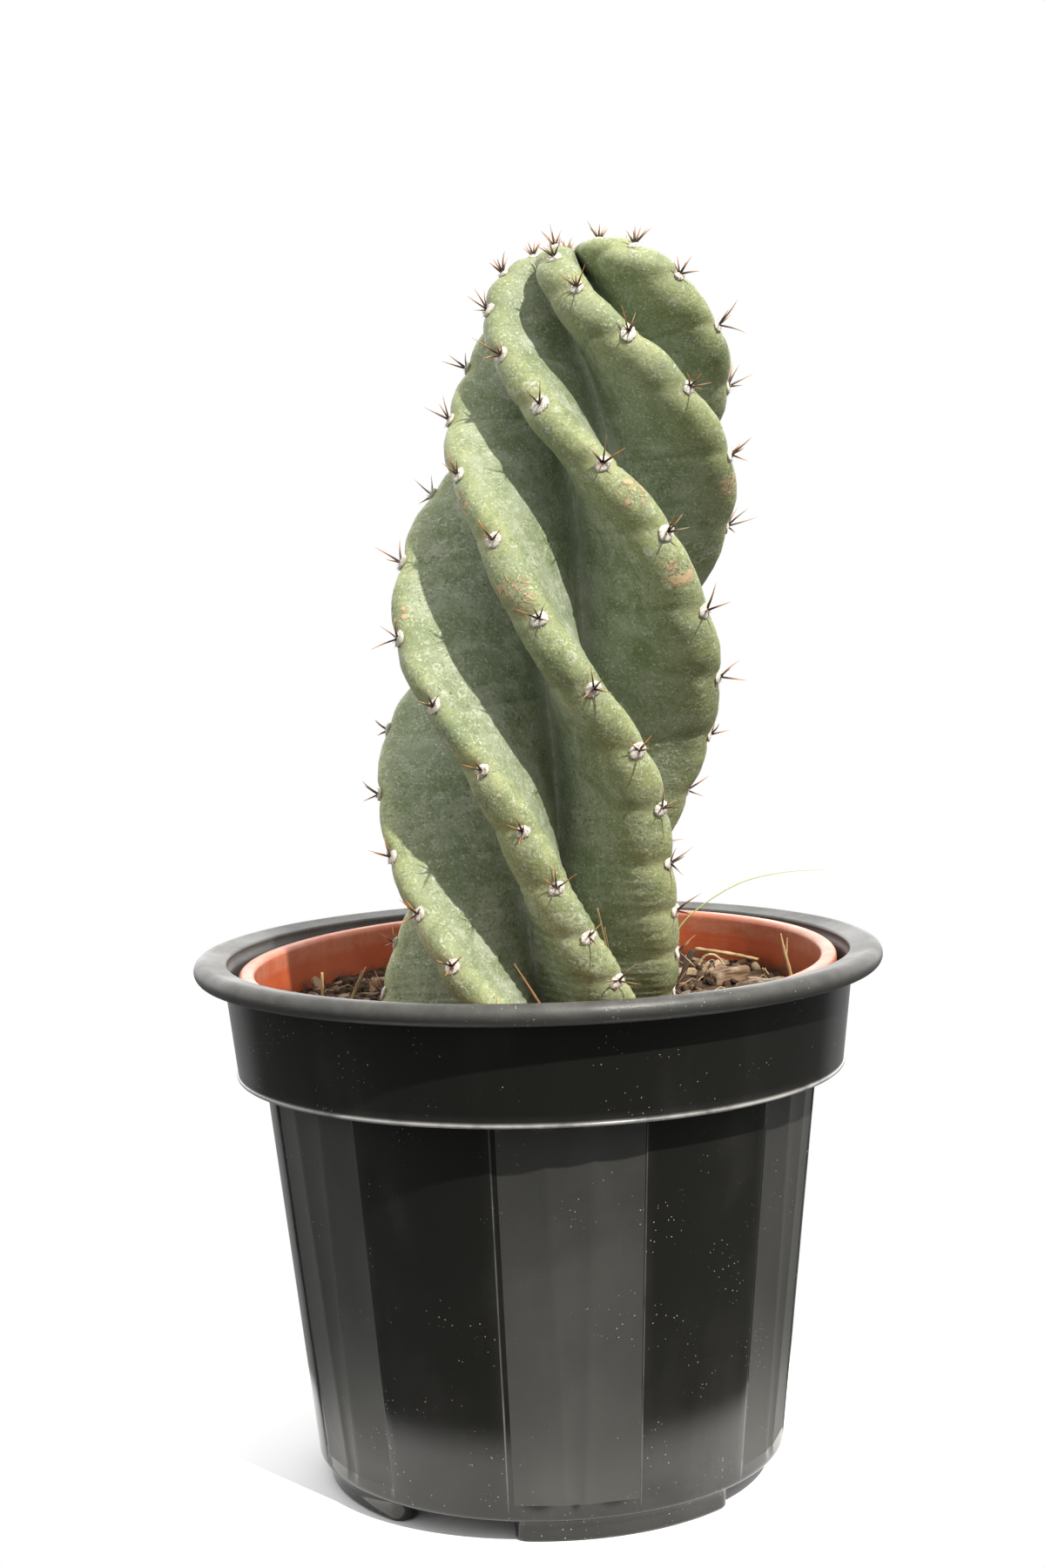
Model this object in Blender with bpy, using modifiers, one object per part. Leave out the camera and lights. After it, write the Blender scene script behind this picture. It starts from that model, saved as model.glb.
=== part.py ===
"""A ribbed, spirally twisted column cactus in a black outer pot that holds a terracotta-coloured inner pot.

Metres, +Z up. The origin is the middle of the circle that the outer pot's feet stand on.
An angle on the plant is counted from the front (-Y) towards the right (+X).
"""

import math

import bmesh
import bpy
import numpy as np
from mathutils import Matrix, Vector

FIT_GAP = 0.0003  # between two pieces that touch

# Outer pot
POT_RIM_RADIUS = 0.140
POT_HEIGHT = 0.2151
POT_WALL = 0.0022
POT_RIM_HALF_THICKNESS = 0.0042
RIM_OVERHANG = 0.0120  # of the rim past the collar's top
COLLAR_TOP_RADIUS = POT_RIM_RADIUS - RIM_OVERHANG
COLLAR_HEIGHT = 0.0440
COLLAR_TAPER = 0.0044
COLLAR_BOTTOM_RADIUS = COLLAR_TOP_RADIUS - COLLAR_TAPER
COLLAR_EDGE = 0.0010
SHOULDER_WIDTH = 0.0110
SHOULDER_EDGE = 0.0005
BODY_TOP_RADIUS = COLLAR_BOTTOM_RADIUS - SHOULDER_WIDTH
BODY_TAPER = 0.0163
BODY_BOTTOM_RADIUS = BODY_TOP_RADIUS - BODY_TAPER
BODY_EDGE_RADIUS = 0.0030
RIM_NECK = 0.0030  # under the rim, where the collar runs out into it
INNER_RIDGE = 0.0014  # ridge inside the rim
POT_PANEL_PAIRS = 6
POT_PANEL_START = math.radians(-10.0)  # left edge of the front fluted panel, from the front
PANEL_RECESS = 0.0005
FLUTE_DEPTH = 0.0007
MIDDLE_FLUTE_TOP = math.radians(10.0)
MIDDLE_FLUTE_BOTTOM = math.radians(4.0)
FOOT_COUNT = 4
FOOT_HEIGHT = 0.0087
FOOT_INSET = 0.0045
FOOT_OUTER_RADIUS = BODY_BOTTOM_RADIUS - FOOT_INSET
FOOT_WIDTH = 0.0120
FOOT_SPAN = math.radians(60.0)
FOOT_TURN = math.radians(20.0)  # middle of the front foot
POT_DRAIN_RADIUS = 0.0060
POT_DRAIN_CIRCLE = 0.0550
POT_DRAIN_COUNT = 5
POT_FLOOR = FOOT_HEIGHT + POT_WALL  # height of the floor's upper face

# Inner pot, in its own frame, which leans in the outer pot
INNER_BELOW_RIM = 0.0064
INNER_HEIGHT = POT_HEIGHT - INNER_BELOW_RIM - POT_FLOOR - FIT_GAP
INNER_LIP_CLEARANCE = 0.0061  # to the outer pot's collar
INNER_LIP_RADIUS = COLLAR_TOP_RADIUS - INNER_LIP_CLEARANCE
INNER_LIP_WIDTH = 0.0064
INNER_LIP_DROP = 0.0085
INNER_LIP_CORNER = 0.35 * INNER_LIP_WIDTH
INNER_LIP_EDGE = 0.0006
INNER_WALL = 0.0016
INNER_SHOULDER_CLEARANCE = 0.0070  # over the outer pot's shoulder
INNER_COLLAR_HEIGHT = COLLAR_HEIGHT - INNER_SHOULDER_CLEARANCE
INNER_COLLAR_TAPER = 0.0015
INNER_SIDE_CLEARANCE = 0.0032  # to the outer pot's shoulder, taken up by the lean
INNER_BASE_CLEARANCE = 0.0123
INNER_BASE_RADIUS = BODY_BOTTOM_RADIUS - INNER_BASE_CLEARANCE
INNER_BASE_EDGE = 0.0010
INNER_FOOT_EDGE = 0.0060  # height over which the inside turns from floor to wall
INNER_LEAN = math.radians(1.4)
INNER_LEAN_TO = math.radians(-35.0)  # side that is low, from the front
INNER_DRAIN_RADIUS = 0.0050
INNER_DRAIN_CIRCLE = 0.0450
INNER_DRAIN_COUNT = 6
DRAIN_CUT = 0.0100  # how far a drain's cutter reaches past the floor

# Soil
SOIL_BELOW_LIP = 0.0210
SOIL_EDGE = 0.0020
SOIL_FOOT_GAP = 0.0016
SOIL_HEIGHT = INNER_HEIGHT - SOIL_BELOW_LIP  # in the inner pot's frame
SOIL_LEVEL = POT_FLOOR + FIT_GAP + SOIL_HEIGHT  # above the feet, where the plant is measured from
SOCKET_CLEARANCE = 0.0008

# The plant's widths and the places of the litter are for a pot rim of this radius, and follow it
NOMINAL_RIM_RADIUS = 0.140
SPREAD = POT_RIM_RADIUS / NOMINAL_RIM_RADIUS

# Stem: height of a rib's crest above the soil, reach of the rib, turn of the first rib in degrees,
# sideways place of the middle, height and radius of the valley between two ribs
RIB_COUNT = 5
STEM_STATIONS = (
    (-0.0157, 0.059, 58.0, -0.0085, -0.0157, 0.015),
    (0.0023, 0.061, 44.0, -0.006, 0.0023, 0.015),
    (0.0523, 0.0615, 4.0, 0.0006, 0.0523, 0.015),
    (0.1023, 0.0675, -30.0, 0.007, 0.1023, 0.016),
    (0.1523, 0.0715, -73.0, 0.0135, 0.1523, 0.016),
    (0.2023, 0.0662, -114.0, 0.0215, 0.2023, 0.016),
    (0.2523, 0.055, -172.0, 0.0275, 0.2493, 0.015),
    (0.2773, 0.0492, -203.0, 0.0285, 0.2703, 0.014),
    (0.2943, 0.0435, -221.0, 0.029, 0.2843, 0.013),
    (0.3038, 0.0335, -232.0, 0.0285, 0.2923, 0.011),
    (0.3078, 0.023, -240.0, 0.027, 0.2973, 0.008),
    (0.3078, 0.0125, -247.0, 0.025, 0.3003, 0.005),
    (0.3038, 0.005, -252.0, 0.0235, 0.3023, 0.002),
)
GROWING_POINT = (0.0230, 0.0, 0.3018)
TIP_LEAN = 0.077  # rise towards the right near the top
TIP_LEAN_FROM = 0.1923
TIP_LEAN_TO = 0.2723
ROOT_CROWN = ((-0.0317, 0.0140), (-0.0457, 0.0110))  # height and radius under the ribs
ROOT_CROWN_PLACE = -0.0090
RIB_TURN_OFFSETS = (10.8, -2.6, -10.9, 2.8, 0.0)  # degrees
RIB_TURN_DRIFT = (7.8, 19.9, 11.3, -12.8, -26.3)  # degrees more at DRIFT_SPAN above DRIFT_LEVEL
RIB_REACH = (1.014, 1.000, 0.950, 0.965, 1.035)
DRIFT_LEVEL = 0.1423
DRIFT_SPAN = 0.150
# Half of a crest on the side that faces up and right, then on the side that faces down and left:
# width, depth of its rounding, how far the flank under it leans out
UPPER_HALF = (0.0068, 0.0062, 0.42)
LOWER_HALF = (0.0132, 0.0120, 0.12)
CREST_SHARE = 0.48  # most that half a crest takes of its rib's reach, near the growing point
FLANK_PULL = 0.55
VALLEY_ROUND = 0.0030
VALLEY_SHARE = 0.3  # most that the valley's rounding takes of its radius

# Litter on the soil, in the inner pot's own frame: angle from the front and distance from the middle,
# length, width, thickness, turn
BARK_CHIPS = (
    (82.0, 0.082, 0.026, 0.011, 0.0050, 15.0),
    (97.0, 0.094, 0.024, 0.009, 0.0045, -20.0),
    (70.0, 0.094, 0.022, 0.010, 0.0055, 60.0),
    (112.0, 0.086, 0.020, 0.010, 0.0060, 35.0),
    (58.0, 0.078, 0.018, 0.009, 0.0050, 5.0),
    (128.0, 0.096, 0.025, 0.008, 0.0040, 70.0),
    (146.0, 0.082, 0.019, 0.011, 0.0050, -35.0),
    (165.0, 0.095, 0.023, 0.010, 0.0045, 20.0),
    (-172.0, 0.080, 0.020, 0.009, 0.0050, 85.0),
    (-150.0, 0.094, 0.024, 0.009, 0.0040, -25.0),
    (-125.0, 0.078, 0.018, 0.011, 0.0055, 40.0),
    (-82.0, 0.094, 0.017, 0.008, 0.0045, -75.0),
    (-62.0, 0.088, 0.022, 0.009, 0.0045, 30.0),
    (-36.0, 0.092, 0.024, 0.010, 0.0050, -10.0),
    (-12.0, 0.088, 0.020, 0.009, 0.0045, 25.0),
    (28.0, 0.094, 0.023, 0.010, 0.0050, -15.0),
)
CHIP_EDGE = 0.0006
CHIP_TOP_LENGTH = 0.86  # of the length at the bottom
CHIP_TOP_WIDTH = 0.80
CHIP_TAPER = 0.25  # most that one end is wider than the middle
CHIP_SLOPE = 0.20
PEBBLE_PLACE = (-72.0, 0.0770)
PEBBLE_SIZE = (0.0085, 0.0065, 0.0042)

# Each stalk: name, points from its foot to its tip with their height above the soil, radius at the foot
# and at the tip. All are planted in the soil.
STALKS = (
    ("straw_left_short", (
        (-0.091, 0.02, -0.0087), (-0.0906, 0.02, 0.0053), (-0.0904, 0.02, 0.0153),
    ), 0.0009, 0.0006),
    ("straw_left_split", (
        (-0.085, 0.018, -0.0087), (-0.0782, 0.02, 0.0043), (-0.0722, 0.022, 0.0168),
    ), 0.0016, 0.0009),
    ("straw_front", (
        (0.0105, -0.078, -0.0097), (0.0065, -0.08, 0.0063), (-0.001, -0.08, 0.0193),
        (-0.009, -0.08, 0.0328),
    ), 0.0014, 0.0008),
    ("straw_in_valley", (
        (0.034, -0.01, -0.0087), (0.0312, -0.016, 0.0023), (0.0285, -0.025, 0.0233),
        (0.024, -0.035, 0.0468),
    ), 0.0009, 0.0005),
    ("twig_right", (
        (0.058, 0.026, -0.0087), (0.061, 0.029, 0.0083), (0.0655, 0.031, 0.0188),
    ), 0.0015, 0.0014),
    ("straw_right_forked", (
        (0.1062, 0.0, -0.0087), (0.1036, 0.0, 0.0113), (0.101, 0.0, 0.0223),
        (0.0998, 0.001, 0.0291),
    ), 0.0012, 0.0005),
    ("grass_blade", (
        (0.056, 0.034, -0.0097), (0.057, 0.034, 0.0123), (0.06, 0.034, 0.0273),
        (0.072, 0.034, 0.0383), (0.088, 0.034, 0.0468), (0.106, 0.034, 0.0503),
        (0.124, 0.034, 0.0508),
    ), 0.0008, 0.0004),
)
STRAW_PRONG = ((0.1014, 0.0, 0.0211), (0.1022, 0.0005, 0.0248), (0.1024, 0.0005, 0.0273))
STRAW_PRONG_RADII = (0.0006, 0.0004)
STALK_SOCKET_CLEARANCE = 0.0005
STALK_SIDES = 8
STALK_STEPS = 3
# Litter that lies on the chips or the soil: points with their height above the soil, radius
LYING_STRAW = ((0.07, 0.08, 0.0113), (0.084, 0.0665, 0.0108), (0.095, 0.056, 0.0098))
LYING_STRAW_RADIUS = 0.0012
ROOT_CURL = (
    (0.069, 0.05, 0.0088), (0.0715, 0.05, 0.0123), (0.075, 0.049, 0.0135),
    (0.078, 0.048, 0.0118), (0.08, 0.047, 0.0088),
)
ROOT_CURL_RADIUS = 0.0008

# Resolution of the solids
STEM_RINGS_PER_STATION = 3
CREST_POINTS = 3
FLANK_POINTS = 3
TURN_STEPS = 72
DRAIN_STEPS = 20
WELD = 0.00001


def collection_named(name):
    made = bpy.data.collections.new(name)
    bpy.context.scene.collection.children.link(made)
    return made


def clear_scene():
    for old in list(bpy.data.objects):
        bpy.data.objects.remove(old, do_unlink=True)
    for old in list(bpy.data.collections):
        bpy.data.collections.remove(old)


def material(name, colour, roughness):
    made = bpy.data.materials.new(name)
    made.use_nodes = True
    shader = made.node_tree.nodes["Principled BSDF"]
    shader.inputs["Base Color"].default_value = (*colour, 1.0)
    shader.inputs["Roughness"].default_value = roughness
    shader.inputs["Metallic"].default_value = 0.0
    return made


def add_mesh_object(name, mesh, finish=None, sharp_degrees=40.0):
    """A smooth-shaded object in the part's collection, or a hidden cutter when it has no finish."""
    made = bpy.data.objects.new(name, mesh)
    if finish is None:
        CUTTERS.objects.link(made)
        made.hide_render = True
        made.display_type = "WIRE"
        return made
    PLANT.objects.link(made)
    mesh.shade_smooth()
    mesh.set_sharp_from_angle(angle=math.radians(sharp_degrees))
    mesh.materials.append(finish)
    return made


def mesh_from_bmesh(name, shape):
    bmesh.ops.recalc_face_normals(shape, faces=shape.faces[:])
    mesh = bpy.data.meshes.new(name)
    shape.to_mesh(mesh)
    shape.free()
    return mesh


def boolean(target, cutter, operation="DIFFERENCE"):
    change = target.modifiers.new(cutter.name, "BOOLEAN")
    change.operation = operation
    change.object = cutter


def loft(name, rings, low_pole, high_pole):
    """Joins rings of equally many points, each closed round, and ends them in a point below and above.

    Each four-sided gap is split the same way, so that a socket follows the piece that stands in it.
    """
    shape = bmesh.new()
    made = [[shape.verts.new(point) for point in ring] for ring in rings]
    for lower, upper in zip(made, made[1:]):
        for i in range(len(lower)):
            j = (i + 1) % len(lower)
            shape.faces.new((lower[i], lower[j], upper[j]))
            shape.faces.new((lower[i], upper[j], upper[i]))
    for ring, pole in ((made[0], low_pole), (made[-1], high_pole)):
        centre = shape.verts.new(pole)
        for i in range(len(ring)):
            shape.faces.new((ring[i], ring[(i + 1) % len(ring)], centre))
    return mesh_from_bmesh(name, shape)


def turned(name, profile, finish=None, steps=TURN_STEPS):
    """Turns a closed profile of (radius, height), listed from its top down the outer side, about +Z."""
    mesh = bpy.data.meshes.new(name)
    points = [(radius, 0.0, height) for radius, height in profile]
    edges = [(i, i + 1) for i in range(len(points) - 1)]
    mesh.from_pydata(points, edges, [])
    made = add_mesh_object(name, mesh, finish)
    screw = made.modifiers.new("turn", "SCREW")
    screw.steps = steps
    screw.render_steps = steps
    screw.use_smooth_shade = True
    screw.use_merge_vertices = True
    screw.merge_threshold = WELD
    return made


def arc(middle, radius, start_degrees, end_degrees, count):
    """Points of an arc in the (radius, height) plane; 0 degrees points outwards and 90 up."""
    turns = np.radians(np.linspace(start_degrees, end_degrees, count))
    return [(middle[0] + radius * math.cos(a), middle[1] + radius * math.sin(a)) for a in turns]


def polar(radius, angle_from_front, height):
    return Vector((radius * math.sin(angle_from_front), -radius * math.cos(angle_from_front), height))


# Outer pot -------------------------------------------------------------------------------------------------

def flute_columns():
    """(panel side, place) of each wall column in one pair of panels: a plain panel, then a fluted one."""
    plain = [("plain", share) for share in np.linspace(0.0, 1.0, 5)]
    flutes = [("fluted", place) for place in np.linspace(0.0, 3.0, 10)]
    return plain + flutes


def wall_relief(side, place, height_share):
    """(angle from the pair's start, depth cut in) of a wall column; the middle flute narrows downwards."""
    panel = math.pi / POT_PANEL_PAIRS
    step = PANEL_RECESS / BODY_BOTTOM_RADIUS
    if side == "plain":
        return step + place * (panel - 2.0 * step), 0.0
    middle = MIDDLE_FLUTE_BOTTOM + height_share * (MIDDLE_FLUTE_TOP - MIDDLE_FLUTE_BOTTOM)
    outer = (panel - middle) / 2.0
    edges = (0.0, outer, outer + middle, panel)
    flute = min(int(place), 2)
    across = place - flute
    angle = panel + edges[flute] + across * (edges[flute + 1] - edges[flute])
    return angle, PANEL_RECESS + FLUTE_DEPTH * (1.0 - (2.0 * across - 1.0) ** 2)


def pot_ring(radius, height, relief):
    """One closed ring of the outer pot; relief is 1 where the panels are cut in full, 0 where it is round."""
    shoulder = POT_HEIGHT - POT_RIM_HALF_THICKNESS - COLLAR_HEIGHT
    share = min(max((height - FOOT_HEIGHT) / (shoulder - FOOT_HEIGHT), 0.0), 1.0)
    ring = []
    for pair in range(POT_PANEL_PAIRS):
        start = POT_PANEL_START + (2 * pair + 1) * math.pi / POT_PANEL_PAIRS
        for side, place in flute_columns():
            angle, depth = wall_relief(side, place, share)
            ring.append(polar(radius - relief * depth, start + angle, height))
    return ring


def outer_pot_rings():
    """Rings from under the floor up the outside, over the rolled rim and down the inside."""
    rim_radius = POT_RIM_RADIUS - POT_RIM_HALF_THICKNESS
    rim_level = POT_HEIGHT - POT_RIM_HALF_THICKNESS
    shoulder = rim_level - COLLAR_HEIGHT
    foot_edge = (BODY_BOTTOM_RADIUS - BODY_EDGE_RADIUS, FOOT_HEIGHT + BODY_EDGE_RADIUS)
    inner_edge = COLLAR_TOP_RADIUS - POT_WALL
    outside = [(radius, height, 0.0) for radius, height in arc(foot_edge, BODY_EDGE_RADIUS, -90.0, -20.0, 4)]
    outside += [
        (BODY_BOTTOM_RADIUS, foot_edge[1] + BODY_EDGE_RADIUS, 1.0),
        (BODY_TOP_RADIUS, shoulder - SHOULDER_EDGE, 1.0),
        (BODY_TOP_RADIUS, shoulder, 0.0),
        (COLLAR_BOTTOM_RADIUS - COLLAR_EDGE, shoulder, 0.0),
        (COLLAR_BOTTOM_RADIUS, shoulder + COLLAR_EDGE, 0.0),
        (COLLAR_TOP_RADIUS, rim_level - RIM_NECK, 0.0),
        (rim_radius - RIM_NECK, rim_level - 0.7 * POT_RIM_HALF_THICKNESS, 0.0),
    ]
    bead = arc((rim_radius, rim_level), POT_RIM_HALF_THICKNESS, -100.0, 115.0, 9)
    inside = [
        (inner_edge + INNER_RIDGE, rim_level + 0.5 * INNER_RIDGE),
        (inner_edge + INNER_RIDGE, rim_level - INNER_RIDGE),
        (inner_edge, rim_level - 1.3 * INNER_RIDGE),
        (COLLAR_BOTTOM_RADIUS - POT_WALL, shoulder + POT_WALL),
        (BODY_TOP_RADIUS - POT_WALL, shoulder + 0.6 * POT_WALL),
        (BODY_BOTTOM_RADIUS - 1.3 * POT_WALL, POT_FLOOR + BODY_EDGE_RADIUS),
        (BODY_BOTTOM_RADIUS - POT_WALL - BODY_EDGE_RADIUS, POT_FLOOR),
    ]
    return [pot_ring(*values) for values in outside + [(*place, 0.0) for place in bead + inside]]


def foot_outline(middle_angle):
    """A flat outline of one foot: an arc-shaped bar with round ends."""
    middle_radius = FOOT_OUTER_RADIUS - FOOT_WIDTH / 2.0
    half_span = FOOT_SPAN / 2.0 - FOOT_WIDTH / 2.0 / middle_radius
    points = []
    for turn in np.linspace(-half_span, half_span, 9):
        points.append(polar(FOOT_OUTER_RADIUS, middle_angle + turn, 0.0))
    for end, direction in ((half_span, 1.0), (-half_span, -1.0)):
        centre = polar(middle_radius, middle_angle + end, 0.0)
        outwards = centre.normalized()
        along = polar(1.0, middle_angle + end + math.pi / 2.0, 0.0)
        for bend in np.radians(np.linspace(30.0, 150.0, 5)):
            across = math.cos(bend) * direction
            reach = math.sin(bend) * direction
            points.append(centre + FOOT_WIDTH / 2.0 * (across * outwards + reach * along))
        if direction > 0.0:
            for turn in np.linspace(half_span, -half_span, 9):
                points.append(polar(FOOT_OUTER_RADIUS - FOOT_WIDTH, middle_angle + turn, 0.0))
    return points


def prism(name, outline, low, high):
    """A straight prism over a flat outline, from one height to another."""
    curve = bpy.data.curves.new(name, "CURVE")
    curve.dimensions = "2D"
    curve.fill_mode = "BOTH"
    curve.extrude = (high - low) / 2.0
    spline = curve.splines.new("POLY")
    spline.points.add(len(outline) - 1)
    for place, point in zip(spline.points, outline):
        place.co = (point[0], point[1], 0.0, 1.0)
    spline.use_cyclic_u = True
    guide = bpy.data.objects.new(name, curve)
    guide.location.z = (low + high) / 2.0
    return mesh_of_curve(guide, name)


def mesh_of_curve(guide, name, finish=None):
    """The welded mesh of a curve object, which is removed."""
    bpy.context.scene.collection.objects.link(guide)
    bpy.context.view_layer.update()
    graph = bpy.context.evaluated_depsgraph_get()
    mesh = bpy.data.meshes.new_from_object(guide.evaluated_get(graph))
    mesh.transform(guide.matrix_world)
    curve = guide.data
    bpy.data.objects.remove(guide, do_unlink=True)
    bpy.data.curves.remove(curve)
    shape = bmesh.new()
    shape.from_mesh(mesh)
    bpy.data.meshes.remove(mesh)
    bmesh.ops.remove_doubles(shape, verts=shape.verts[:], dist=WELD)
    return add_mesh_object(name, mesh_from_bmesh(name, shape), finish)


def cylinder_cutter(name, radius, low, high, centre):
    shape = bmesh.new()
    bmesh.ops.create_cone(
        shape, cap_ends=True, segments=DRAIN_STEPS, radius1=radius, radius2=radius, depth=high - low,
        matrix=Matrix.Translation((centre[0], centre[1], (low + high) / 2.0)),
    )
    return add_mesh_object(name, mesh_from_bmesh(name, shape))


def make_outer_pot():
    mesh = loft("outer_pot", outer_pot_rings(), (0.0, 0.0, FOOT_HEIGHT), (0.0, 0.0, POT_FLOOR))
    pot = add_mesh_object("outer_pot", mesh, BLACK_PLASTIC)
    for foot in range(FOOT_COUNT):
        outline = foot_outline(FOOT_TURN + foot * 2.0 * math.pi / FOOT_COUNT)
        boolean(pot, prism(f"foot_{foot + 1}", outline, 0.0, FOOT_HEIGHT + POT_WALL / 2.0), "UNION")
    for hole in range(POT_DRAIN_COUNT):
        centre = polar(POT_DRAIN_CIRCLE, hole * 2.0 * math.pi / POT_DRAIN_COUNT, 0.0)
        boolean(pot, cylinder_cutter(f"pot_drain_{hole + 1}", POT_DRAIN_RADIUS, 0.0, 2.0 * POT_FLOOR, centre))
    return pot


# Inner pot and soil ----------------------------------------------------------------------------------------

def inner_shoulder():
    """Height of the inner pot's shoulder above its own floor."""
    return INNER_HEIGHT - INNER_COLLAR_HEIGHT


def inner_collar_radius(height):
    """Outside radius of the inner pot's collar at a height above its own floor."""
    top = INNER_LIP_RADIUS - INNER_LIP_WIDTH + INNER_WALL
    share = (INNER_HEIGHT - INNER_LIP_DROP - height) / (INNER_COLLAR_HEIGHT - INNER_LIP_DROP)
    return top - INNER_COLLAR_TAPER * share


def inner_body_radius(height):
    """Outside radius of the inner pot's body at a height above its own floor."""
    top = BODY_TOP_RADIUS - POT_WALL - INNER_SIDE_CLEARANCE
    return INNER_BASE_RADIUS + (top - INNER_BASE_RADIUS) * height / inner_shoulder()


def make_lean():
    """The empty that the inner pot, the soil and what lies on it stand in.

    It is tipped on the low edge of the pot's base, with the lip's middle over the outer pot's.
    """
    lean = bpy.data.objects.new("inner_pot_place", None)
    PLANT.objects.link(lean)
    low_side = polar(1.0, INNER_LEAN_TO, 0.0)
    axis = polar(1.0, INNER_LEAN_TO + math.pi / 2.0, 0.0)
    base = Vector((0.0, 0.0, POT_FLOOR + FIT_GAP)) - INNER_HEIGHT * math.sin(INNER_LEAN) * low_side
    edge = base + INNER_BASE_RADIUS * low_side
    tip = Matrix.Translation(edge) @ Matrix.Rotation(INNER_LEAN, 4, axis) @ Matrix.Translation(-edge)
    lean.matrix_world = tip @ Matrix.Translation(base)
    bpy.context.view_layer.update()
    return lean


def make_inner_pot(lean):
    lip_inner = INNER_LIP_RADIUS - INNER_LIP_WIDTH
    corner = INNER_LIP_CORNER
    wall_top = INNER_HEIGHT - INNER_LIP_DROP
    shoulder = inner_shoulder()
    profile = [
        (0.0, INNER_WALL),
        (INNER_BASE_RADIUS - INNER_WALL - INNER_BASE_EDGE, INNER_WALL),
        (inner_body_radius(INNER_FOOT_EDGE) - INNER_WALL, INNER_FOOT_EDGE),
        (inner_body_radius(shoulder) - INNER_WALL, shoulder + INNER_WALL),
        (inner_collar_radius(shoulder) - INNER_WALL, shoulder + INNER_WALL),
        (lip_inner, wall_top),
    ]
    profile += arc((lip_inner + corner, INNER_HEIGHT - corner), corner, 180.0, 90.0, 4)
    profile += arc((INNER_LIP_RADIUS - corner, INNER_HEIGHT - corner), corner, 90.0, 0.0, 4)
    profile += [
        (INNER_LIP_RADIUS, wall_top + INNER_LIP_EDGE),
        (INNER_LIP_RADIUS - INNER_LIP_EDGE, wall_top),
        (inner_collar_radius(wall_top), wall_top),
        (inner_collar_radius(shoulder), shoulder),
        (inner_body_radius(shoulder), shoulder),
        (INNER_BASE_RADIUS, INNER_BASE_EDGE),
        (INNER_BASE_RADIUS - INNER_BASE_EDGE, 0.0),
        (0.0, 0.0),
    ]
    pot = turned("inner_pot", profile, TERRACOTTA_PLASTIC)
    pot.parent = lean
    for hole in range(INNER_DRAIN_COUNT):
        centre = polar(INNER_DRAIN_CIRCLE, hole * 2.0 * math.pi / INNER_DRAIN_COUNT, 0.0)
        cutter = cylinder_cutter(f"inner_drain_{hole + 1}", INNER_DRAIN_RADIUS, -DRAIN_CUT, DRAIN_CUT, centre)
        cutter.parent = lean
        boolean(pot, cutter)
    return pot


def make_soil(lean):
    top = SOIL_HEIGHT
    shoulder = inner_shoulder()
    wall = INNER_WALL + FIT_GAP
    profile = [
        (0.0, top),
        (inner_collar_radius(top) - wall - SOIL_EDGE, top),
        (inner_collar_radius(top) - wall, top - SOIL_EDGE),
        (inner_collar_radius(shoulder) - wall, shoulder + wall),
        (inner_body_radius(shoulder) - wall, shoulder + wall),
        (inner_body_radius(INNER_FOOT_EDGE) - wall, INNER_FOOT_EDGE),
        (INNER_BASE_RADIUS - INNER_WALL - SOIL_FOOT_GAP, wall),
        (0.0, wall),
    ]
    soil = turned("soil", profile, SOIL_MIX)
    soil.parent = lean
    return soil


# Stem ------------------------------------------------------------------------------------------------------

def curve_through(rows, steps):
    """Rows on a smooth curve through the given ones, with this many steps between each two."""
    rows = np.array(rows, float)
    before = np.vstack([2.0 * rows[0] - rows[1], rows, 2.0 * rows[-1] - rows[-2]])
    made = []
    for i in range(len(rows) - 1):
        a, b, c, d = before[i:i + 4]
        for t in np.arange(steps) / steps:
            made.append(0.5 * (2.0 * b + (c - a) * t + (2.0 * a - 5.0 * b + 4.0 * c - d) * t * t
                               + (3.0 * b - a - 3.0 * c + d) * t ** 3))
    made.append(rows[-1])
    return made


def half_rib(reach, valley, shape, grow):
    """(outwards, sideways) points from a rib's crest, round its edge and down its flank to the valley."""
    half_pitch = math.pi / RIB_COUNT
    width, depth, flare = shape
    width = min(width, CREST_SHARE * reach) + grow
    depth = min(depth, CREST_SHARE * reach)
    reach = reach + grow
    valley = valley + grow / math.sin(half_pitch)
    points = []
    for bend in np.linspace(0.0, math.pi / 2.0, CREST_POINTS + 1):
        points.append(np.array((reach - depth + depth * math.cos(bend), width * math.sin(bend))))
    low = valley * np.array((math.cos(half_pitch), math.sin(half_pitch)))
    into = min(VALLEY_ROUND, VALLEY_SHARE * valley) * np.array((math.sin(half_pitch), -math.cos(half_pitch)))
    start = points[-1]
    pull = start + (low - start) * np.array((FLANK_PULL, flare))
    for t in np.linspace(0.0, 1.0, FLANK_POINTS + 1)[1:]:
        from_edge = (1.0 - t) ** 2 * ((1.0 - t) * start + 3.0 * t * pull)
        from_valley = t * t * (3.0 * (1.0 - t) * (low + into) + t * low)
        points.append(from_edge + from_valley)
    return points


def rib_turn(rib, first_turn, height):
    drift = RIB_TURN_DRIFT[rib] * (height - DRIFT_LEVEL) / DRIFT_SPAN
    return math.radians(first_turn + 360.0 / RIB_COUNT * rib + RIB_TURN_OFFSETS[rib] + drift)


def tip_lean(height):
    """Rise to the right for each metre across, which sets in smoothly near the top."""
    share = min(max((height - TIP_LEAN_FROM) / (TIP_LEAN_TO - TIP_LEAN_FROM), 0.0), 1.0)
    return TIP_LEAN * share * share * (3.0 - 2.0 * share)


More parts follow.
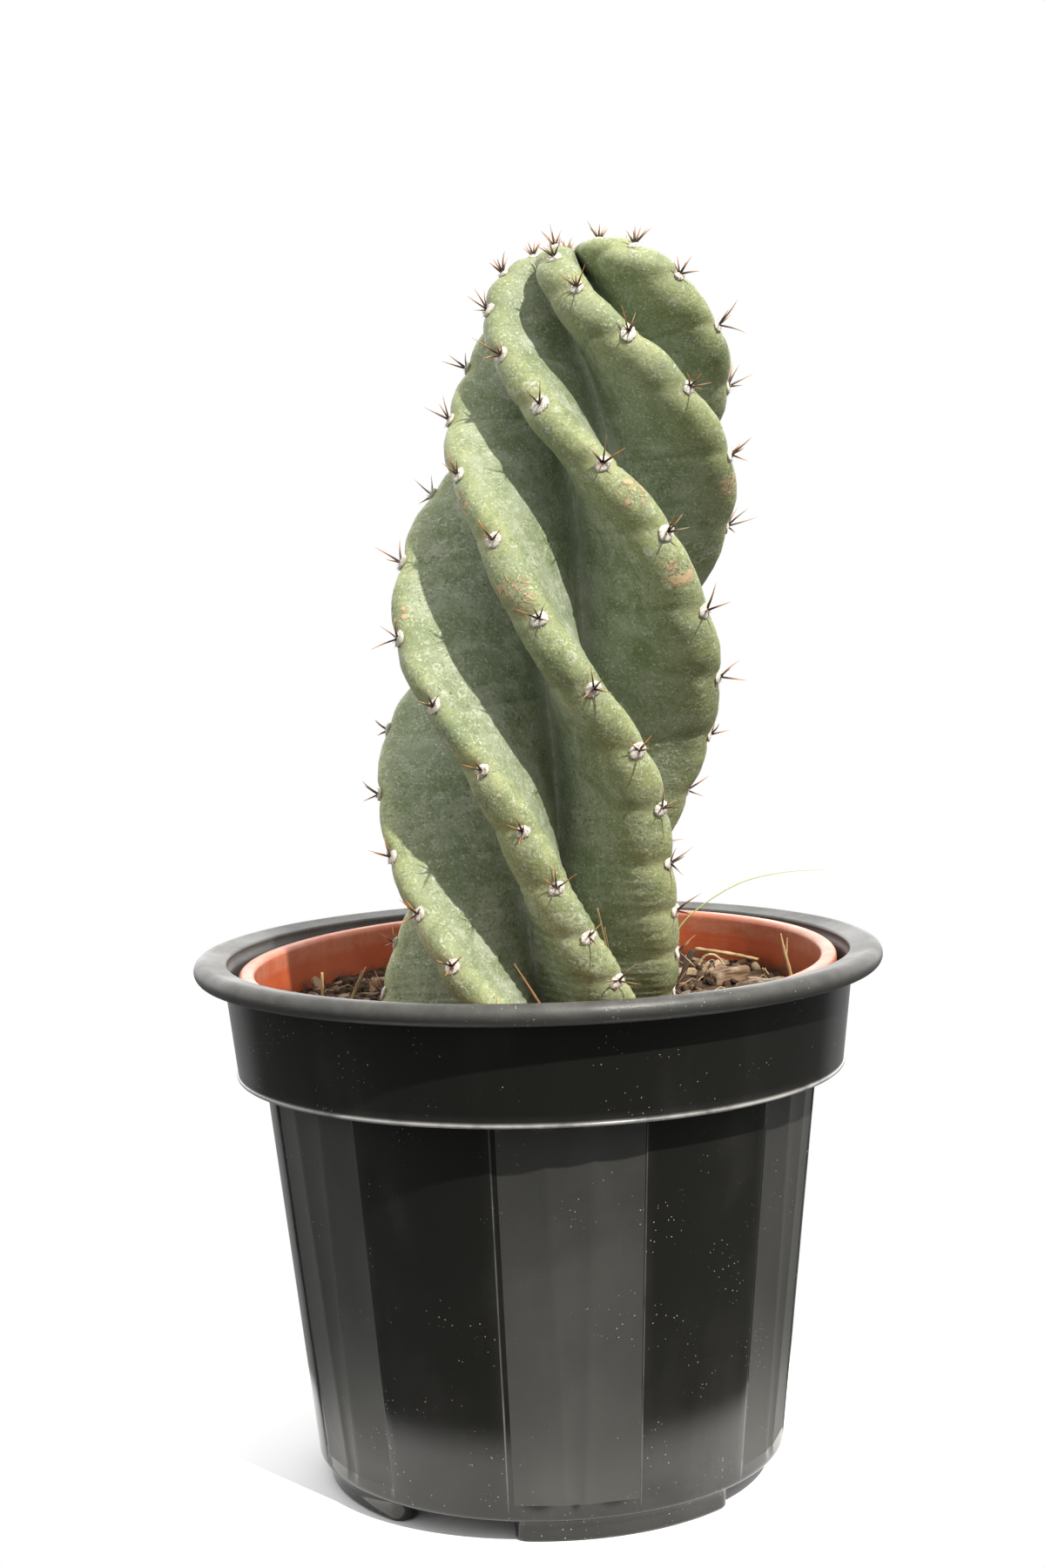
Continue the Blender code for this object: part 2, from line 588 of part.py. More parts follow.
def stem_ring(row, grow=0.0):
    """One closed line round the stem that passes every crest and every valley."""
    crest_height, reach, first_turn, place, valley_height, valley = row
    turns = [rib_turn(rib, first_turn, crest_height) for rib in range(RIB_COUNT)]
    turns.append(turns[0] + 2.0 * math.pi)
    ring = []
    for rib in range(RIB_COUNT):
        pitch = turns[rib + 1] - turns[rib]
        upper = half_rib(reach * RIB_REACH[rib], valley, UPPER_HALF, grow)
        lower = half_rib(reach * RIB_REACH[(rib + 1) % RIB_COUNT], valley, LOWER_HALF, grow)
        stretch = pitch * RIB_COUNT / (2.0 * math.pi)
        for base, points, side in ((turns[rib], upper, 1.0), (turns[rib + 1], lower[::-1][1:-1], -1.0)):
            for out, across in points:
                bend = math.atan2(across, out)
                share = bend * RIB_COUNT / math.pi
                angle = base + side * bend * (1.0 + share * share * (stretch - 1.0))
                radius = math.hypot(out, across)
                rise = min(max((radius - valley) / (reach - valley), 0.0), 1.0)
                height = valley_height + (crest_height - valley_height) * rise
                point = polar(radius * SPREAD, angle, SOIL_LEVEL + height)
                point.z += tip_lean(crest_height) * point.x
                point.x += place * SPREAD
                ring.append(point)
    return ring


def root_rings(first_row, grow):
    """The round rings of the root crown, whose points lie under those of the lowest ribbed ring."""
    middle = Vector((ROOT_CROWN_PLACE * SPREAD, 0.0, 0.0))
    arms = [point - middle for point in stem_ring(first_row)]
    turns = [math.atan2(arm.x, -arm.y) for arm in arms]
    return [
        [middle + polar(radius * SPREAD + grow, turn, SOIL_LEVEL + height - grow) for turn in turns]
        for height, radius in reversed(ROOT_CROWN)
    ]


def stem_rings(rows, grow=0.0):
    return root_rings(rows[0], grow) + [stem_ring(row, grow) for row in rows]


def above_soil(place, extra=0.0):
    """World place of a point given by its place in the pot and its height above the soil."""
    return Vector((place[0] * SPREAD, place[1] * SPREAD, SOIL_LEVEL + place[2] + extra))


def spread_rise(place):
    """Rise along the leaning soil of a place that moves outwards as the pot is made wider."""
    moved = (SPREAD - 1.0) * Vector((place[0], place[1], 0.0))
    return -math.sin(INNER_LEAN) * moved.dot(polar(1.0, INNER_LEAN_TO, 0.0))


def make_stem():
    rows = curve_through(STEM_STATIONS, STEM_RINGS_PER_STATION)
    foot = above_soil((ROOT_CROWN_PLACE, 0.0, ROOT_CROWN[-1][0]))
    mesh = loft("cactus_stem", stem_rings(rows), foot, above_soil(GROWING_POINT))
    return add_mesh_object("cactus_stem", mesh, CACTUS_SKIN, 60.0)


def cut_stem_socket(soil):
    """Opens the soil round the buried foot of the stem."""
    rows = curve_through(STEM_STATIONS, STEM_RINGS_PER_STATION)[:2 * STEM_RINGS_PER_STATION]
    rings = stem_rings(rows, SOCKET_CLEARANCE)
    foot = above_soil((ROOT_CROWN_PLACE, 0.0, ROOT_CROWN[-1][0]), -SOCKET_CLEARANCE)
    head = above_soil((rows[-1][3], 0.0, rows[-1][0]))
    boolean(soil, add_mesh_object("stem_socket", loft("stem_socket", rings, foot, head)))


# Litter ----------------------------------------------------------------------------------------------------

def make_bark_chip(number, angle, distance, length, width, thickness, turn, lean):
    """A split piece of bark: a slab whose ends and top are cut askew."""
    shape = bmesh.new()
    bmesh.ops.create_cube(shape, size=1.0)
    askew = math.sin(number * 2.4)
    for corner in shape.verts:
        side = 1.0 if corner.co.x > 0.0 else -1.0
        upper = corner.co.z > 0.0
        corner.co.x *= SPREAD * length * (CHIP_TOP_LENGTH if upper else 1.0)
        corner.co.y *= SPREAD * width * (1.0 + CHIP_TAPER * askew * side) * (CHIP_TOP_WIDTH if upper else 1.0)
        corner.co.z = (corner.co.z + 0.5) * thickness * (1.0 - CHIP_SLOPE * side * askew)
    bmesh.ops.bevel(shape, geom=shape.edges[:], offset=CHIP_EDGE, segments=1, affect="EDGES", profile=0.5)
    chip = add_mesh_object(f"bark_chip_{number:02d}", mesh_from_bmesh("bark_chip", shape), BARK)
    chip.parent = lean
    chip.location = polar(distance * SPREAD, math.radians(angle), SOIL_HEIGHT + FIT_GAP)
    chip.rotation_euler.z = math.radians(turn)
    return chip


def make_pebble(lean):
    shape = bmesh.new()
    bmesh.ops.create_uvsphere(shape, u_segments=14, v_segments=8, radius=1.0)
    bmesh.ops.scale(shape, vec=PEBBLE_SIZE, verts=shape.verts[:])
    pebble = add_mesh_object("pebble", mesh_from_bmesh("pebble", shape), DARK_STONE)
    pebble.parent = lean
    angle, distance = PEBBLE_PLACE
    level = SOIL_HEIGHT + FIT_GAP + PEBBLE_SIZE[2]
    pebble.location = polar(distance * SPREAD, math.radians(angle), level)
    return pebble


def tapered_tube(name, places, foot_radius, tip_radius, finish=None):
    """A round tube along a smooth curve through places given by their height above the soil."""
    route = curve_through([above_soil(place, spread_rise(place)) for place in places], STALK_STEPS)
    curve = bpy.data.curves.new(name, "CURVE")
    curve.dimensions = "3D"
    curve.bevel_depth = foot_radius
    curve.bevel_resolution = STALK_SIDES // 4 - 1
    curve.use_fill_caps = True
    spline = curve.splines.new("POLY")
    spline.points.add(len(route) - 1)
    for i, (point, place) in enumerate(zip(spline.points, route)):
        share = i / (len(route) - 1)
        point.co = (*place, 1.0)
        point.radius = 1.0 + share * (tip_radius / foot_radius - 1.0)
    return mesh_of_curve(bpy.data.objects.new(name, curve), name, finish)


def plant(soil, name, places, foot_radius, tip_radius):
    """Opens the soil round the buried foot of a stalk."""
    clearance = STALK_SOCKET_CLEARANCE
    x, y, depth = places[0]
    route = [(x, y, depth - clearance), *places[1:]]
    boolean(soil, tapered_tube(name + "_socket", route, foot_radius + clearance, tip_radius + clearance))


def make_stalks(soil):
    made = {}
    for name, places, foot_radius, tip_radius in STALKS:
        finish = {"grass_blade": GRASS, "twig_right": BARK}.get(name, STRAW)
        made[name] = tapered_tube(name, places, foot_radius, tip_radius, finish)
        plant(soil, name, places, foot_radius, tip_radius)
    prong = tapered_tube("straw_prong", STRAW_PRONG, *STRAW_PRONG_RADII)
    boolean(made["straw_right_forked"], prong, "UNION")


def main():
    lean = make_lean()
    make_outer_pot()
    make_inner_pot(lean)
    soil = make_soil(lean)
    make_stem()
    cut_stem_socket(soil)
    make_stalks(soil)
    for number, chip in enumerate(BARK_CHIPS, 1):
        make_bark_chip(number, *chip, lean)
    make_pebble(lean)
    tapered_tube("straw_lying", LYING_STRAW, LYING_STRAW_RADIUS, LYING_STRAW_RADIUS, STRAW)
    tapered_tube("root_curl", ROOT_CURL, ROOT_CURL_RADIUS, ROOT_CURL_RADIUS, STRAW)


clear_scene()
PLANT = collection_named("potted_tall_cactus")
CUTTERS = collection_named("cutters")
CUTTERS.hide_render = True
BLACK_PLASTIC = material("black_plastic", (0.012, 0.012, 0.011), 0.35)
TERRACOTTA_PLASTIC = material("terracotta_plastic", (0.45, 0.12, 0.05), 0.5)
SOIL_MIX = material("soil_mix", (0.06, 0.04, 0.03), 0.95)
CACTUS_SKIN = material("cactus_skin", (0.16, 0.24, 0.10), 0.6)
BARK = material("bark", (0.25, 0.17, 0.11), 0.9)
DARK_STONE = material("dark_stone", (0.09, 0.08, 0.08), 0.85)
STRAW = material("straw", (0.60, 0.42, 0.22), 0.8)
GRASS = material("grass", (0.45, 0.60, 0.20), 0.6)
main()
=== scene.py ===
import math

import bmesh
import bpy
import numpy as np
from mathutils import Matrix, Vector, noise


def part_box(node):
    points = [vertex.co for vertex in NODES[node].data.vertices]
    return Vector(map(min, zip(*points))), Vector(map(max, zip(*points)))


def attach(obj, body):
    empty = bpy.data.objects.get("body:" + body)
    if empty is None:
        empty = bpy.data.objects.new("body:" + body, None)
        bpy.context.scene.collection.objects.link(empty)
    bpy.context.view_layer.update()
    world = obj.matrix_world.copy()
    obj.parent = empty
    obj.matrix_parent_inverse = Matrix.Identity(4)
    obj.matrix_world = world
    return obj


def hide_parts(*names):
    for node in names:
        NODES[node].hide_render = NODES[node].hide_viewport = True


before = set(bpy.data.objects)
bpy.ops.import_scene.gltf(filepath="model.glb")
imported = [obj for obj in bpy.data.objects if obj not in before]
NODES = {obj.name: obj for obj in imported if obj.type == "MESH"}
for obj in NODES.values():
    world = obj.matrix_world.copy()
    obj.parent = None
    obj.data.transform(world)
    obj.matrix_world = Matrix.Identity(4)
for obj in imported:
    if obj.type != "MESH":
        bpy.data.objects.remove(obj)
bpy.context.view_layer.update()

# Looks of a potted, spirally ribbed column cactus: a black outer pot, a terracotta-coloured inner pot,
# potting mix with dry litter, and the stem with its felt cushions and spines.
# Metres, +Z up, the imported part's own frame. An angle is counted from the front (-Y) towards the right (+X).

BODY = "root"

# Outer pot -------------------------------------------------------------------------------------------------
RIM_TUBE = 0.0042  # radius of the rolled rim
COLLAR_HEIGHT = 0.0440
COLLAR_TOP_RADIUS = 0.1280
COLLAR_BOTTOM_RADIUS = 0.1236
BODY_TOP_RADIUS = 0.1126
BODY_BOTTOM_RADIUS = 0.0963
BODY_EDGE = 0.0030
POT_WALL = 0.0022
FOOT_HEIGHT = 0.0087
PANEL_PAIRS = 6
FIRST_PLAIN_PANEL = math.radians(20.0)
POT_HEIGHT = 0.2151
CAD_RIM_RADIUS = 0.140
SHOULDER_LEVEL = POT_HEIGHT - RIM_TUBE - COLLAR_HEIGHT
FLOOR_TOP = FOOT_HEIGHT + POT_WALL
POT_DRAIN_RADIUS = 0.0060
POT_DRAIN_CIRCLE = 0.0550
POT_DRAIN_COUNT = 5
FIT_GAP = 0.0003
PANEL_RECESS = 0.0006
PANEL_EDGE = 0.0007
FLUTE_DEPTH = 0.0008
MIDDLE_FLUTE_TOP = math.radians(10.0)
MIDDLE_FLUTE_BOTTOM = math.radians(4.0)
FOOT_COUNT = 4
FOOT_OUTER_RADIUS = 0.0918
FOOT_WIDTH = 0.0120
FOOT_SPAN = math.radians(60.0)
FOOT_TURN = math.radians(20.0)
FOOT_ROUNDING = 0.0012

# Inner pot -------------------------------------------------------------------------------------------------
INNER_LEAN = math.radians(1.4)
INNER_LEAN_TO = math.radians(-35.0)
INNER_HEIGHT = 0.1975
INNER_LIP_RADIUS = 0.1219
INNER_LIP_WIDTH = 0.0064
INNER_LIP_DROP = 0.0085
INNER_WALL = 0.0016
INNER_COLLAR_HEIGHT = 0.0370
INNER_COLLAR_TAPER = 0.0015
INNER_BASE_RADIUS = 0.0840
INNER_SIDE_CLEARANCE = 0.0032
INNER_DRAIN_RADIUS = 0.0050
INNER_DRAIN_CIRCLE = 0.0450
INNER_DRAIN_COUNT = 6
INNER_SHOULDER = INNER_HEIGHT - INNER_COLLAR_HEIGHT  # heights from the inner pot's own base
LIP_FOOT = INNER_HEIGHT - INNER_LIP_DROP
INNER_STEPS = 288
SOIL_BELOW_LIP = 0.0210
SOIL_LEVEL = INNER_HEIGHT - SOIL_BELOW_LIP

# Stem ------------------------------------------------------------------------------------------------------
# Crest height, reach of the ribs, turn of the first rib in degrees, sideways place of the middle,
# height and radius of the valleys between the ribs
RIBS = 5
STEM_STATIONS = (
    (0.172, 0.0590, 58.0, -0.0085, 0.172, 0.015),
    (0.190, 0.0610, 44.0, -0.0060, 0.190, 0.015),
    (0.240, 0.0615, 4.0, 0.0006, 0.240, 0.015),
    (0.290, 0.0675, -30.0, 0.0070, 0.290, 0.016),
    (0.340, 0.0715, -73.0, 0.0135, 0.340, 0.016),
    (0.390, 0.0662, -114.0, 0.0215, 0.390, 0.016),
    (0.440, 0.0550, -172.0, 0.0275, 0.437, 0.015),
    (0.465, 0.0492, -203.0, 0.0285, 0.458, 0.014),
    (0.482, 0.0435, -221.0, 0.0290, 0.472, 0.013),
    (0.4915, 0.0335, -232.0, 0.0285, 0.480, 0.011),
    (0.4955, 0.0230, -240.0, 0.0270, 0.485, 0.008),
    (0.4955, 0.0125, -247.0, 0.0250, 0.488, 0.005),
    (0.4915, 0.0050, -252.0, 0.0235, 0.490, 0.002),
)
GROWING_POINT = (0.0230, 0.0, 0.4895)
TIP_LEAN = 0.077  # rise towards the right near the top
TIP_LEAN_FROM = 0.380
TIP_LEAN_TO = 0.460
ROOT_CROWN = ((0.142, 0.0110), (0.156, 0.0140))  # height and radius under the ribs
ROOT_PLACE = -0.0090
RIB_TURN_OFFSETS = (10.8, -2.6, -10.9, 2.8, 0.0)  # degrees
RIB_TURN_DRIFT = (7.8, 19.9, 11.3, -12.8, -26.3)  # degrees more at DRIFT_SPAN above DRIFT_LEVEL
RIB_REACH = (1.014, 1.000, 0.950, 0.965, 1.035)
DRIFT_LEVEL = 0.330
DRIFT_SPAN = 0.150
CREST_SHARE = 0.48
# Half of a crest on the side that faces up and right, then on the side that faces down and left:
# width, depth of its rounding, how far the flank under it leans out
UPPER_HALF = (0.0068, 0.0062, 0.42)
LOWER_HALF = (0.0132, 0.0120, 0.12)
VALLEY_ROUND = 0.0030
FLANK_PULL = 0.55
RING_STEP = 0.0013
RINGS_AT_LEAST = 6  # between two stations
CREST_POINTS = 8
FLANK_POINTS = 16
HALF_POINTS = CREST_POINTS + FLANK_POINTS

# Felt cushions: how many a rib has below each station, and each rib's own start
CUSHIONS_AT_STATION = (-2.3, -1.1, 1.6, 3.8, 5.8, 7.5, 9.5, 10.7, 11.6, 12.4, 13.1, 13.8, 14.3)
CUSHION_SHIFT = (0.10, -0.14, -0.17, -0.27, -0.35)
CUSHIONS_FROM = 0.187
CUSHION_RADIUS = 0.0034
WOOL_HAIRS = 34
WOOL_HAIR_RADIUS = 0.00011
WOOL_ROUGHNESS = 0.091
YOUNG_FROM = (0.455, 0.495)  # heights over which the cushions get smaller, taller and more spiny
SPINE_LENGTH = (0.0065, 0.0120)
SPINE_RADIUS = (0.00038, 0.00054)
FIRST_SPLAY = (8.0, 24.0)  # degrees from straight out
SPLAY = (42.0, 68.0)
SPINE_RISE = 0.45  # how far the spines turn upwards
LOBE = 0.0006  # how far a crest bulges between two cushions
NOTCH = 0.0010
NOTCH_SHARE = 0.15  # of the way to the next cushion
CREASE = 0.0009
CREASE_SHARE = 0.028
CREASE_WANDER = 0.055
FOLD = 0.00035  # fine folds over the lowest stretch of the flanks
FOLDS_PER_CUSHION = 5.0
FOLDS_FADE = (0.215, 0.285)  # heights
UNEVEN = 0.0007
UNEVEN_FINE = 0.00022
RELIEF_FADES = (0.006, 0.030)  # reach of the ribs at the top, where the relief dies out
HALO_SHARE = 0.20  # yellowed skin round a cushion, as a share of the way to the next
SCARS = (  # corky scars on the front of the stem: place sideways, height, size
    (0.041, 0.396, 0.0060), (-0.026, 0.395, 0.0050), (-0.052, 0.352, 0.0060), (-0.005, 0.359, 0.0080),
    (0.081, 0.400, 0.0050), (0.058, 0.366, 0.0060),
)

# Loose matter on the soil ----------------------------------------------------------------------------------
SOIL_STEPS = 420
SOIL_RINGS = 105
LITTER_REACH = 0.1095
STEM_PLACE = -0.006
STEM_CLEAR = 0.047
CRUMBS = 700
FIBRES = 90
FLAKES = 150
FLAKE_LENGTH = (0.0022, 0.0062)
FLAKE_WIDTH = (0.0012, 0.0026)
FLAKE_THICKNESS = (0.0004, 0.0012)
BARK_GRAIN = np.array((70.0, 420.0, 420.0))  # fineness along and across the fibres
STALK_SIDES = 12
STALK_STEPS = 9
CHIP_COUNT = 16
BROWN_STRAWS = ("straw_front",)

# Each stalk: its CAD node, slot, and its tubes: points, radii along it, flatness, raggedness
LITTER = (
    ("straw_left_short", "straw", (
        (((-0.0910, 0.020, 0.1790), (-0.0906, 0.020, 0.1930), (-0.0904, 0.020, 0.2030)),
         (0.0009, 0.0007), 0.8, 0.10),
    )),
    ("straw_left_split", "straw", (
        (((-0.0850, 0.018, 0.1790), (-0.0782, 0.020, 0.1920), (-0.0722, 0.022, 0.2045)),
         (0.0014, 0.0012, 0.0005), 0.45, 0.12),
        (((-0.0816, 0.019, 0.1860), (-0.0772, 0.020, 0.1950), (-0.0736, 0.021, 0.2035)),
         (0.0008, 0.0007, 0.0003), 0.5, 0.12),
    )),
    ("straw_front", "straw", (
        (((0.0105, -0.078, 0.1780), (0.0065, -0.080, 0.1940), (-0.0010, -0.080, 0.2070),
          (-0.0090, -0.080, 0.2205)),
         (0.0014, 0.0016, 0.0014, 0.0006), 0.4, 0.08),
    )),
    ("straw_in_valley", "straw", (
        (((0.0340, -0.010, 0.1790), (0.0312, -0.016, 0.1900), (0.0285, -0.025, 0.2110),
          (0.0240, -0.035, 0.2345)),
         (0.0009, 0.0008, 0.0004), 0.5, 0.10),
        (((0.0320, -0.0145, 0.1880), (0.0300, -0.022, 0.2060), (0.0268, -0.031, 0.2260)),
         (0.0006, 0.0006, 0.0003), 0.5, 0.10),
    )),
    ("twig_right", "bark", (
        (((0.0580, 0.026, 0.1790), (0.0610, 0.029, 0.1960), (0.0655, 0.031, 0.2065)),
         (0.0015, 0.0014, 0.0014), 0.9, 0.09),
    )),
    ("straw_right_forked", "straw", (
        (((0.1062, 0.000, 0.1790), (0.1036, 0.000, 0.1990), (0.1010, 0.000, 0.2100), (0.0998, 0.001, 0.2168)),
         (0.0012, 0.0010, 0.0004), 0.7, 0.08),
        (((0.1018, 0.0000, 0.2070), (0.1022, 0.0005, 0.2125), (0.1024, 0.0005, 0.2150)),
         (0.0006, 0.0003), 0.7, 0.08),
    )),
    ("grass_blade", "grass", (
        (((0.0560, 0.034, 0.1780), (0.0570, 0.034, 0.2000), (0.0600, 0.034, 0.2150), (0.0720, 0.034, 0.2260),
          (0.0880, 0.034, 0.2345), (0.1060, 0.034, 0.2380), (0.1240, 0.034, 0.2385)),
         (0.0008, 0.0008, 0.0007, 0.0002), 0.35, 0.0),
    )),
    ("straw_lying", "straw", (
        (((0.0700, 0.0800, 0.1990), (0.0840, 0.0665, 0.1985), (0.0950, 0.0560, 0.1975)),
         (0.0012, 0.0013, 0.0010), 0.7, 0.10),
    )),
    ("root_curl", "straw", (
        (((0.0690, 0.0500, 0.1965), (0.0715, 0.0500, 0.2000), (0.0750, 0.0490, 0.2012),
          (0.0780, 0.0480, 0.1995), (0.0800, 0.0470, 0.1965)),
         (0.0008, 0.0008, 0.0005), 0.8, 0.10),
    )),
)

# Colours of the skin ---------------------------------------------------------------------------------------
# Crest and flank colours are partly the skin's own colour and partly painted light: the crest is lighter and
# warmer like sunlit skin, the flank cooler like shaded skin.
SKIN_FLANK_SHADE_TINTED = (0.240, 0.288, 0.188)
SKIN_CREST_SUN_TINTED = (0.305, 0.338, 0.142)
SKIN_DEEP = (0.178, 0.222, 0.098)
SKIN_MOTTLE = (0.165, 0.208, 0.092)
SKIN_BLOOM = (0.455, 0.482, 0.372)
SKIN_SPECKLE = (0.640, 0.660, 0.545)
SKIN_PIT = (0.085, 0.125, 0.050)
SKIN_WATER_MARK = (0.500, 0.535, 0.420)
SKIN_HOLLOW = (0.500, 0.525, 0.430)
SKIN_HAIRLINE = (0.130, 0.165, 0.075)
# Painted shade: the colour that darkens the creases and the hollows of the folds.
SKIN_CREASE_SHADE = (0.125, 0.158, 0.068)
SKIN_HALO = (0.330, 0.345, 0.170)
CORK = (0.520, 0.385, 0.220)

# Camera and light ------------------------------------------------------------------------------------------
CAMERA_PLACE = (0.0, -1.00119, 0.36924)
CAMERA_TURN = math.radians(0.2405)
CAMERA_PITCH = math.radians(5.013)
CAMERA_ROLL = math.radians(-1.673)
CAMERA_LENS = 56.66
KEY_TURN = math.radians(35.0)
KEY_ELEVATION = math.radians(48.0)
KEY_ANGLE = math.radians(1.2)
KEY_STRENGTH = 4.8
ROOM_FRONT = 0.80
ROOM_SIDES = 1.25
ROOM_BACK = 2.2  # more than at the sides
ROOM_GROUND = 0.09
FRONT_FADES = (-0.95, -0.15)  # directions over which each part of the room gives way to the next
BACK_FADES = (0.55, 0.80)
GROUND_FADES = (-0.12, 0.02)
FLOOR_RADIUS = 0.180
FLOOR_FULL = 0.145  # distance to which the floor is solid


def polar(radius, angle, height):
    return Vector((radius * math.sin(angle), -radius * math.cos(angle), height))


def rng(seed):
    return np.random.default_rng(seed)


def smooth_step(low, high, value):
    t = np.clip((value - low) / (high - low), 0.0, 1.0)
    return t * t * (3.0 - 2.0 * t)


def noise_of(points, scale, octaves=3):
    """Smooth noise between about -1 and 1 at each point."""
    flat = np.asarray(points, float).reshape(-1, 3) * scale
    made = [noise.fractal(Vector(p), 1.0, 2.0, octaves) for p in flat]
    return np.array(made).reshape(np.asarray(points).shape[:-1])


# Meshes ----------------------------------------------------------------------------------------------------

def link(name, mesh, *finishes, smooth=True, sharp=None):
    made = bpy.data.objects.new(name, mesh)
    bpy.context.scene.collection.objects.link(made)
    for finish in finishes:
        mesh.materials.append(finish)
    if smooth:
        mesh.shade_smooth()
    if sharp is not None:
        mesh.set_sharp_from_angle(angle=math.radians(sharp))
    return made


def piece(made, slot, *nodes):
    """Rides on the part's only body, and may stand for CAD nodes; its slot is not used."""
    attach(made, BODY)
    if nodes:
        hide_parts(*nodes)
    return made


def add_values(mesh, **values):
    """Stores a number or a vector for each vertex, which a material reads by name."""
    for name, numbers in values.items():
        numbers = np.asarray(numbers, np.float32)
        kind, field = ("FLOAT_VECTOR", "vector") if numbers.ndim == 2 else ("FLOAT", "value")
        layer = mesh.attributes.new(name, kind, "POINT")
        layer.data.foreach_set(field, numbers.ravel())


def faces_between(index):
    """Four-sided faces between the rows of a closed-round grid of point numbers."""
    following = np.roll(index, -1, axis=1)
    corners = [index[:-1], following[:-1], following[1:], index[1:]]
    return np.stack(corners, axis=-1).reshape(-1, 4).tolist()


def grid_mesh(name, rings, low_pole=None, high_pole=None):
    """A closed skin over rings of equally many points, listed upwards, with a point at each end."""
    rings = np.asarray(rings, float)
    count, around = rings.shape[:2]
    points = rings.reshape(-1, 3)
    index = np.arange(count * around).reshape(count, around)
    faces = faces_between(index)
    extra = []
    for pole, ring, outwards in ((low_pole, 0, False), (high_pole, -1, True)):
        if pole is None:
            continue
        centre = len(points) + len(extra)
        extra.append(pole)
        for a, b in zip(index[ring], np.roll(index[ring], -1)):
            faces.append((a, b, centre) if outwards else (b, a, centre))
    mesh = bpy.data.meshes.new(name)
    mesh.from_pydata(np.vstack([points, np.array(extra).reshape(-1, 3)]).tolist(), [], faces)
    mesh.update()
    return mesh


def turned_rings(profile, steps):
    """Rings of a (radius, height) profile turned about +Z, in the profile's order."""
    turns = np.linspace(0.0, 2.0 * math.pi, steps, endpoint=False)
    return np.array([
        [(radius * math.sin(a), -radius * math.cos(a), height) for a in turns] for radius, height in profile
    ])


def arc(middle, radius, start_degrees, end_degrees, count):
    turns = np.radians(np.linspace(start_degrees, end_degrees, count))
    return [(middle[0] + radius * math.cos(a), middle[1] + radius * math.sin(a)) for a in turns]


class Parts:
    """Gathers many small shapes into one mesh, with named numbers or vectors for each vertex."""

    def __init__(self, *names):
        self.points = []
        self.faces = []
        self.values = {name: [] for name in names}

    def add(self, points, faces, **values):
        start = len(self.points)
        self.points.extend([tuple(p) for p in points])
        self.faces.extend([tuple(start + i for i in face) for face in faces])
        for name, kept in self.values.items():
            given = values.get(name, 0.0)
            kept.extend([given] * len(points) if np.isscalar(given) else list(given))

    def mesh(self, name):
        made = bpy.data.meshes.new(name)
        made.from_pydata(self.points, [], self.faces)
        made.update()
        add_values(made, **self.values)
        return made


def points_and_faces(shape):
    shape.verts.index_update()
    points = np.array([v.co[:] for v in shape.verts])
    faces = [tuple(v.index for v in face.verts) for face in shape.faces]
    shape.free()
    return points, faces


def ball(segments, rings):
    """(points, faces) of a unit sphere with poles."""
    shape = bmesh.new()
    bmesh.ops.create_uvsphere(shape, u_segments=segments, v_segments=rings, radius=1.0)
    return points_and_faces(shape)


def pebble_ball(divisions):
    """(points, faces) of a unit sphere of even triangles."""
    shape = bmesh.new()
    bmesh.ops.create_icosphere(shape, subdivisions=divisions, radius=1.0)
    return points_and_faces(shape)


def frame_along(direction):
    """Two unit vectors square to a direction."""
    direction = Vector(direction).normalized()
    helper = Vector((0.0, 0.0, 1.0)) if abs(direction.z) < 0.9 else Vector((1.0, 0.0, 0.0))
    side = direction.cross(helper).normalized()
    return side, side.cross(direction).normalized()


def tube(route, radii, sides, flatness=1.0, ragged=0.0, seed=0):
    """(points, faces) of a closed tube along a route; flatness thins it in one direction."""
    route = [Vector(p) for p in route]
    draw = rng(seed)
    points = []
    faces = []
    previous = None
    for i, place in enumerate(route):
        direction = (route[min(i + 1, len(route) - 1)] - route[max(i - 1, 0)]).normalized()
        if previous is None:
            side, over = frame_along(direction)
        else:
            side = (previous - previous.dot(direction) * direction).normalized()
            over = side.cross(direction)
        previous = side
        for k in range(sides):
            turn = 2.0 * math.pi * k / sides
            reach = float(radii[i]) * (1.0 + ragged * draw.uniform(-1.0, 1.0))
            points.append(place + reach * (math.cos(turn) * side + flatness * math.sin(turn) * over))
    for i in range(len(route) - 1):
        for k in range(sides):
            a, b = i * sides + k, i * sides + (k + 1) % sides
            faces.append((a, a + sides, b + sides, b))
    faces.append(tuple(range(sides)))
    faces.append(tuple(reversed(range((len(route) - 1) * sides, len(route) * sides))))
    return points, faces


def curve_through(rows, steps):
    """Rows on a Catmull-Rom curve through the given ones, with steps[i] steps after row i."""
    rows = np.array(rows, float)
    padded = np.vstack([2.0 * rows[0] - rows[1], rows, 2.0 * rows[-1] - rows[-2]])
    made = []
    for i, count in enumerate(steps):
        a, b, c, d = padded[i:i + 4]
        t = (np.arange(count) / count)[:, None]
        made.append(0.5 * (2.0 * b + (c - a) * t + (2.0 * a - 5.0 * b + 4.0 * c - d) * t * t
                           + (3.0 * b - a - 3.0 * c + d) * t ** 3))
    made.append(rows[-1:])
    return np.vstack(made)


# Materials -------------------------------------------------------------------------------------------------

